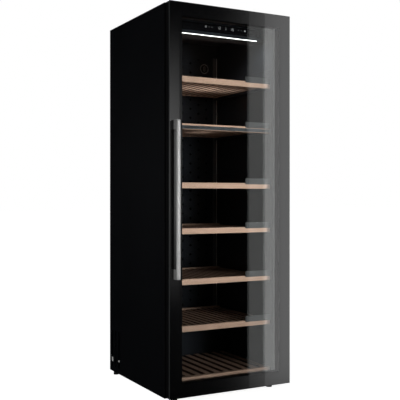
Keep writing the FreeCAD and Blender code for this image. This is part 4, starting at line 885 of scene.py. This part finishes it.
# Painted shade: a near-black sheet that stands in for the shade inside the duct behind the holes.
duct_felt = grained_finish(
    "duct_felt", (0.0006, 0.0006, 0.0006), (0.0014, 0.0014, 0.0014),
    roughness=0.9, spread=0.05, grain=600.0, relief=0.6, specular=0.05)
for name, bottom, top in DUCT_SHADE_SHEETS:
    sheet = [(-SHADE_SHEET_HALF, bottom), (SHADE_SHEET_HALF, bottom), (SHADE_SHEET_HALF, top), (-SHADE_SHEET_HALF, top)]
    drawn_piece(name, sheet, Y, DUCT_REAR - SHADE_SHEET_THICK, DUCT_REAR, duct_felt)
print(len(DUCT_SHADE_SHEETS), "sheets of felt")

# %% [markdown]
# ## Air filter's rim
# The air filter's round cap has a raised rim, and a smaller one round an upright finger slot. A ring
# between two outlines gives both; a round rim is a slot without straight sides.

# %% Filter rim
def tube_ring(shape, outer, inner, start, end):
    """Adds a ring between two outlines of equally many points, facing the front."""
    loops = [[shape.verts.new((x, y, z)) for x, z in line] for line, y in
             ((outer, end), (outer, start), (inner, start), (inner, end))]
    for near, far in zip(loops, loops[1:] + loops[:1]):
        for k in range(len(near)):
            after = (k + 1) % len(near)
            shape.faces.new((near[k], near[after], far[after], far[k]))


def stadium(x, z, radius, straight, steps=12):
    """An upright slot's outline: two half circles and two straight sides."""
    turns = [math.pi * k / steps for k in range(steps + 1)]
    upper = [(x + radius * math.cos(t), z + straight + radius * math.sin(t)) for t in turns]
    lower = [(x - radius * math.cos(t), z - straight - radius * math.sin(t)) for t in turns]
    return upper + lower


RIM_RISE = 0.0012
# Each row gives a rim's outer and inner radius and half the length of its straight sides.
RIMS = ((0.0235, 0.0200, 0.0), (0.0045, 0.0030, 0.0075))
rim_nylon = grained_finish(
    "rim_nylon", (0.26, 0.26, 0.27), (0.34, 0.34, 0.35),
    roughness=0.45, spread=0.06, grain=900.0, relief=0.2)
low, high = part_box("charcoal_filter")
filter_x, filter_z = (low.x + high.x) / 2, (low.z + high.z) / 2
shape = bmesh.new()
for outer, inner, straight in RIMS:
    tube_ring(shape, stadium(filter_x, filter_z, outer, straight),
              stadium(filter_x, filter_z, inner, straight), low.y, low.y - RIM_RISE)
new_piece("filter_rim", shape, rim_nylon, "cabinet")
print("filter rim at height", round(filter_z, 3))

# %% [markdown]
# ## Tube clips
# In the machine bay two pale clips hold the tube and show through the vent slots. Each is a waisted
# block, drawn as one outline, because only its face is seen.

# %% Tube clips
CLIP_HALF, CLIP_WAIST = 0.013, 0.011
CLIP_OUTSIDE, CLIP_INSIDE = -0.2963, -0.2925
CLIPS = (("rear_tube_clip", 0.309, 0.076, 0.020), ("front_tube_clip", 0.2285, 0.079, 0.007))
for name, y, z, tall in CLIPS:
    block = [(y - CLIP_HALF, z - tall / 2), (y + CLIP_HALF, z - tall / 2), (y + CLIP_HALF, z - tall / 6),
             (y + CLIP_WAIST, z), (y + CLIP_HALF, z + tall / 6), (y + CLIP_HALF, z + tall / 2),
             (y - CLIP_HALF, z + tall / 2), (y - CLIP_WAIST, z)]
    drawn_piece(name, block, X, CLIP_OUTSIDE, CLIP_INSIDE, pale_nylon_and_painted_glint)
print(len(CLIPS), "clips")

# %% [markdown]
# ## End
# The scene is dressed.

# %% Finish
print("scene finished")
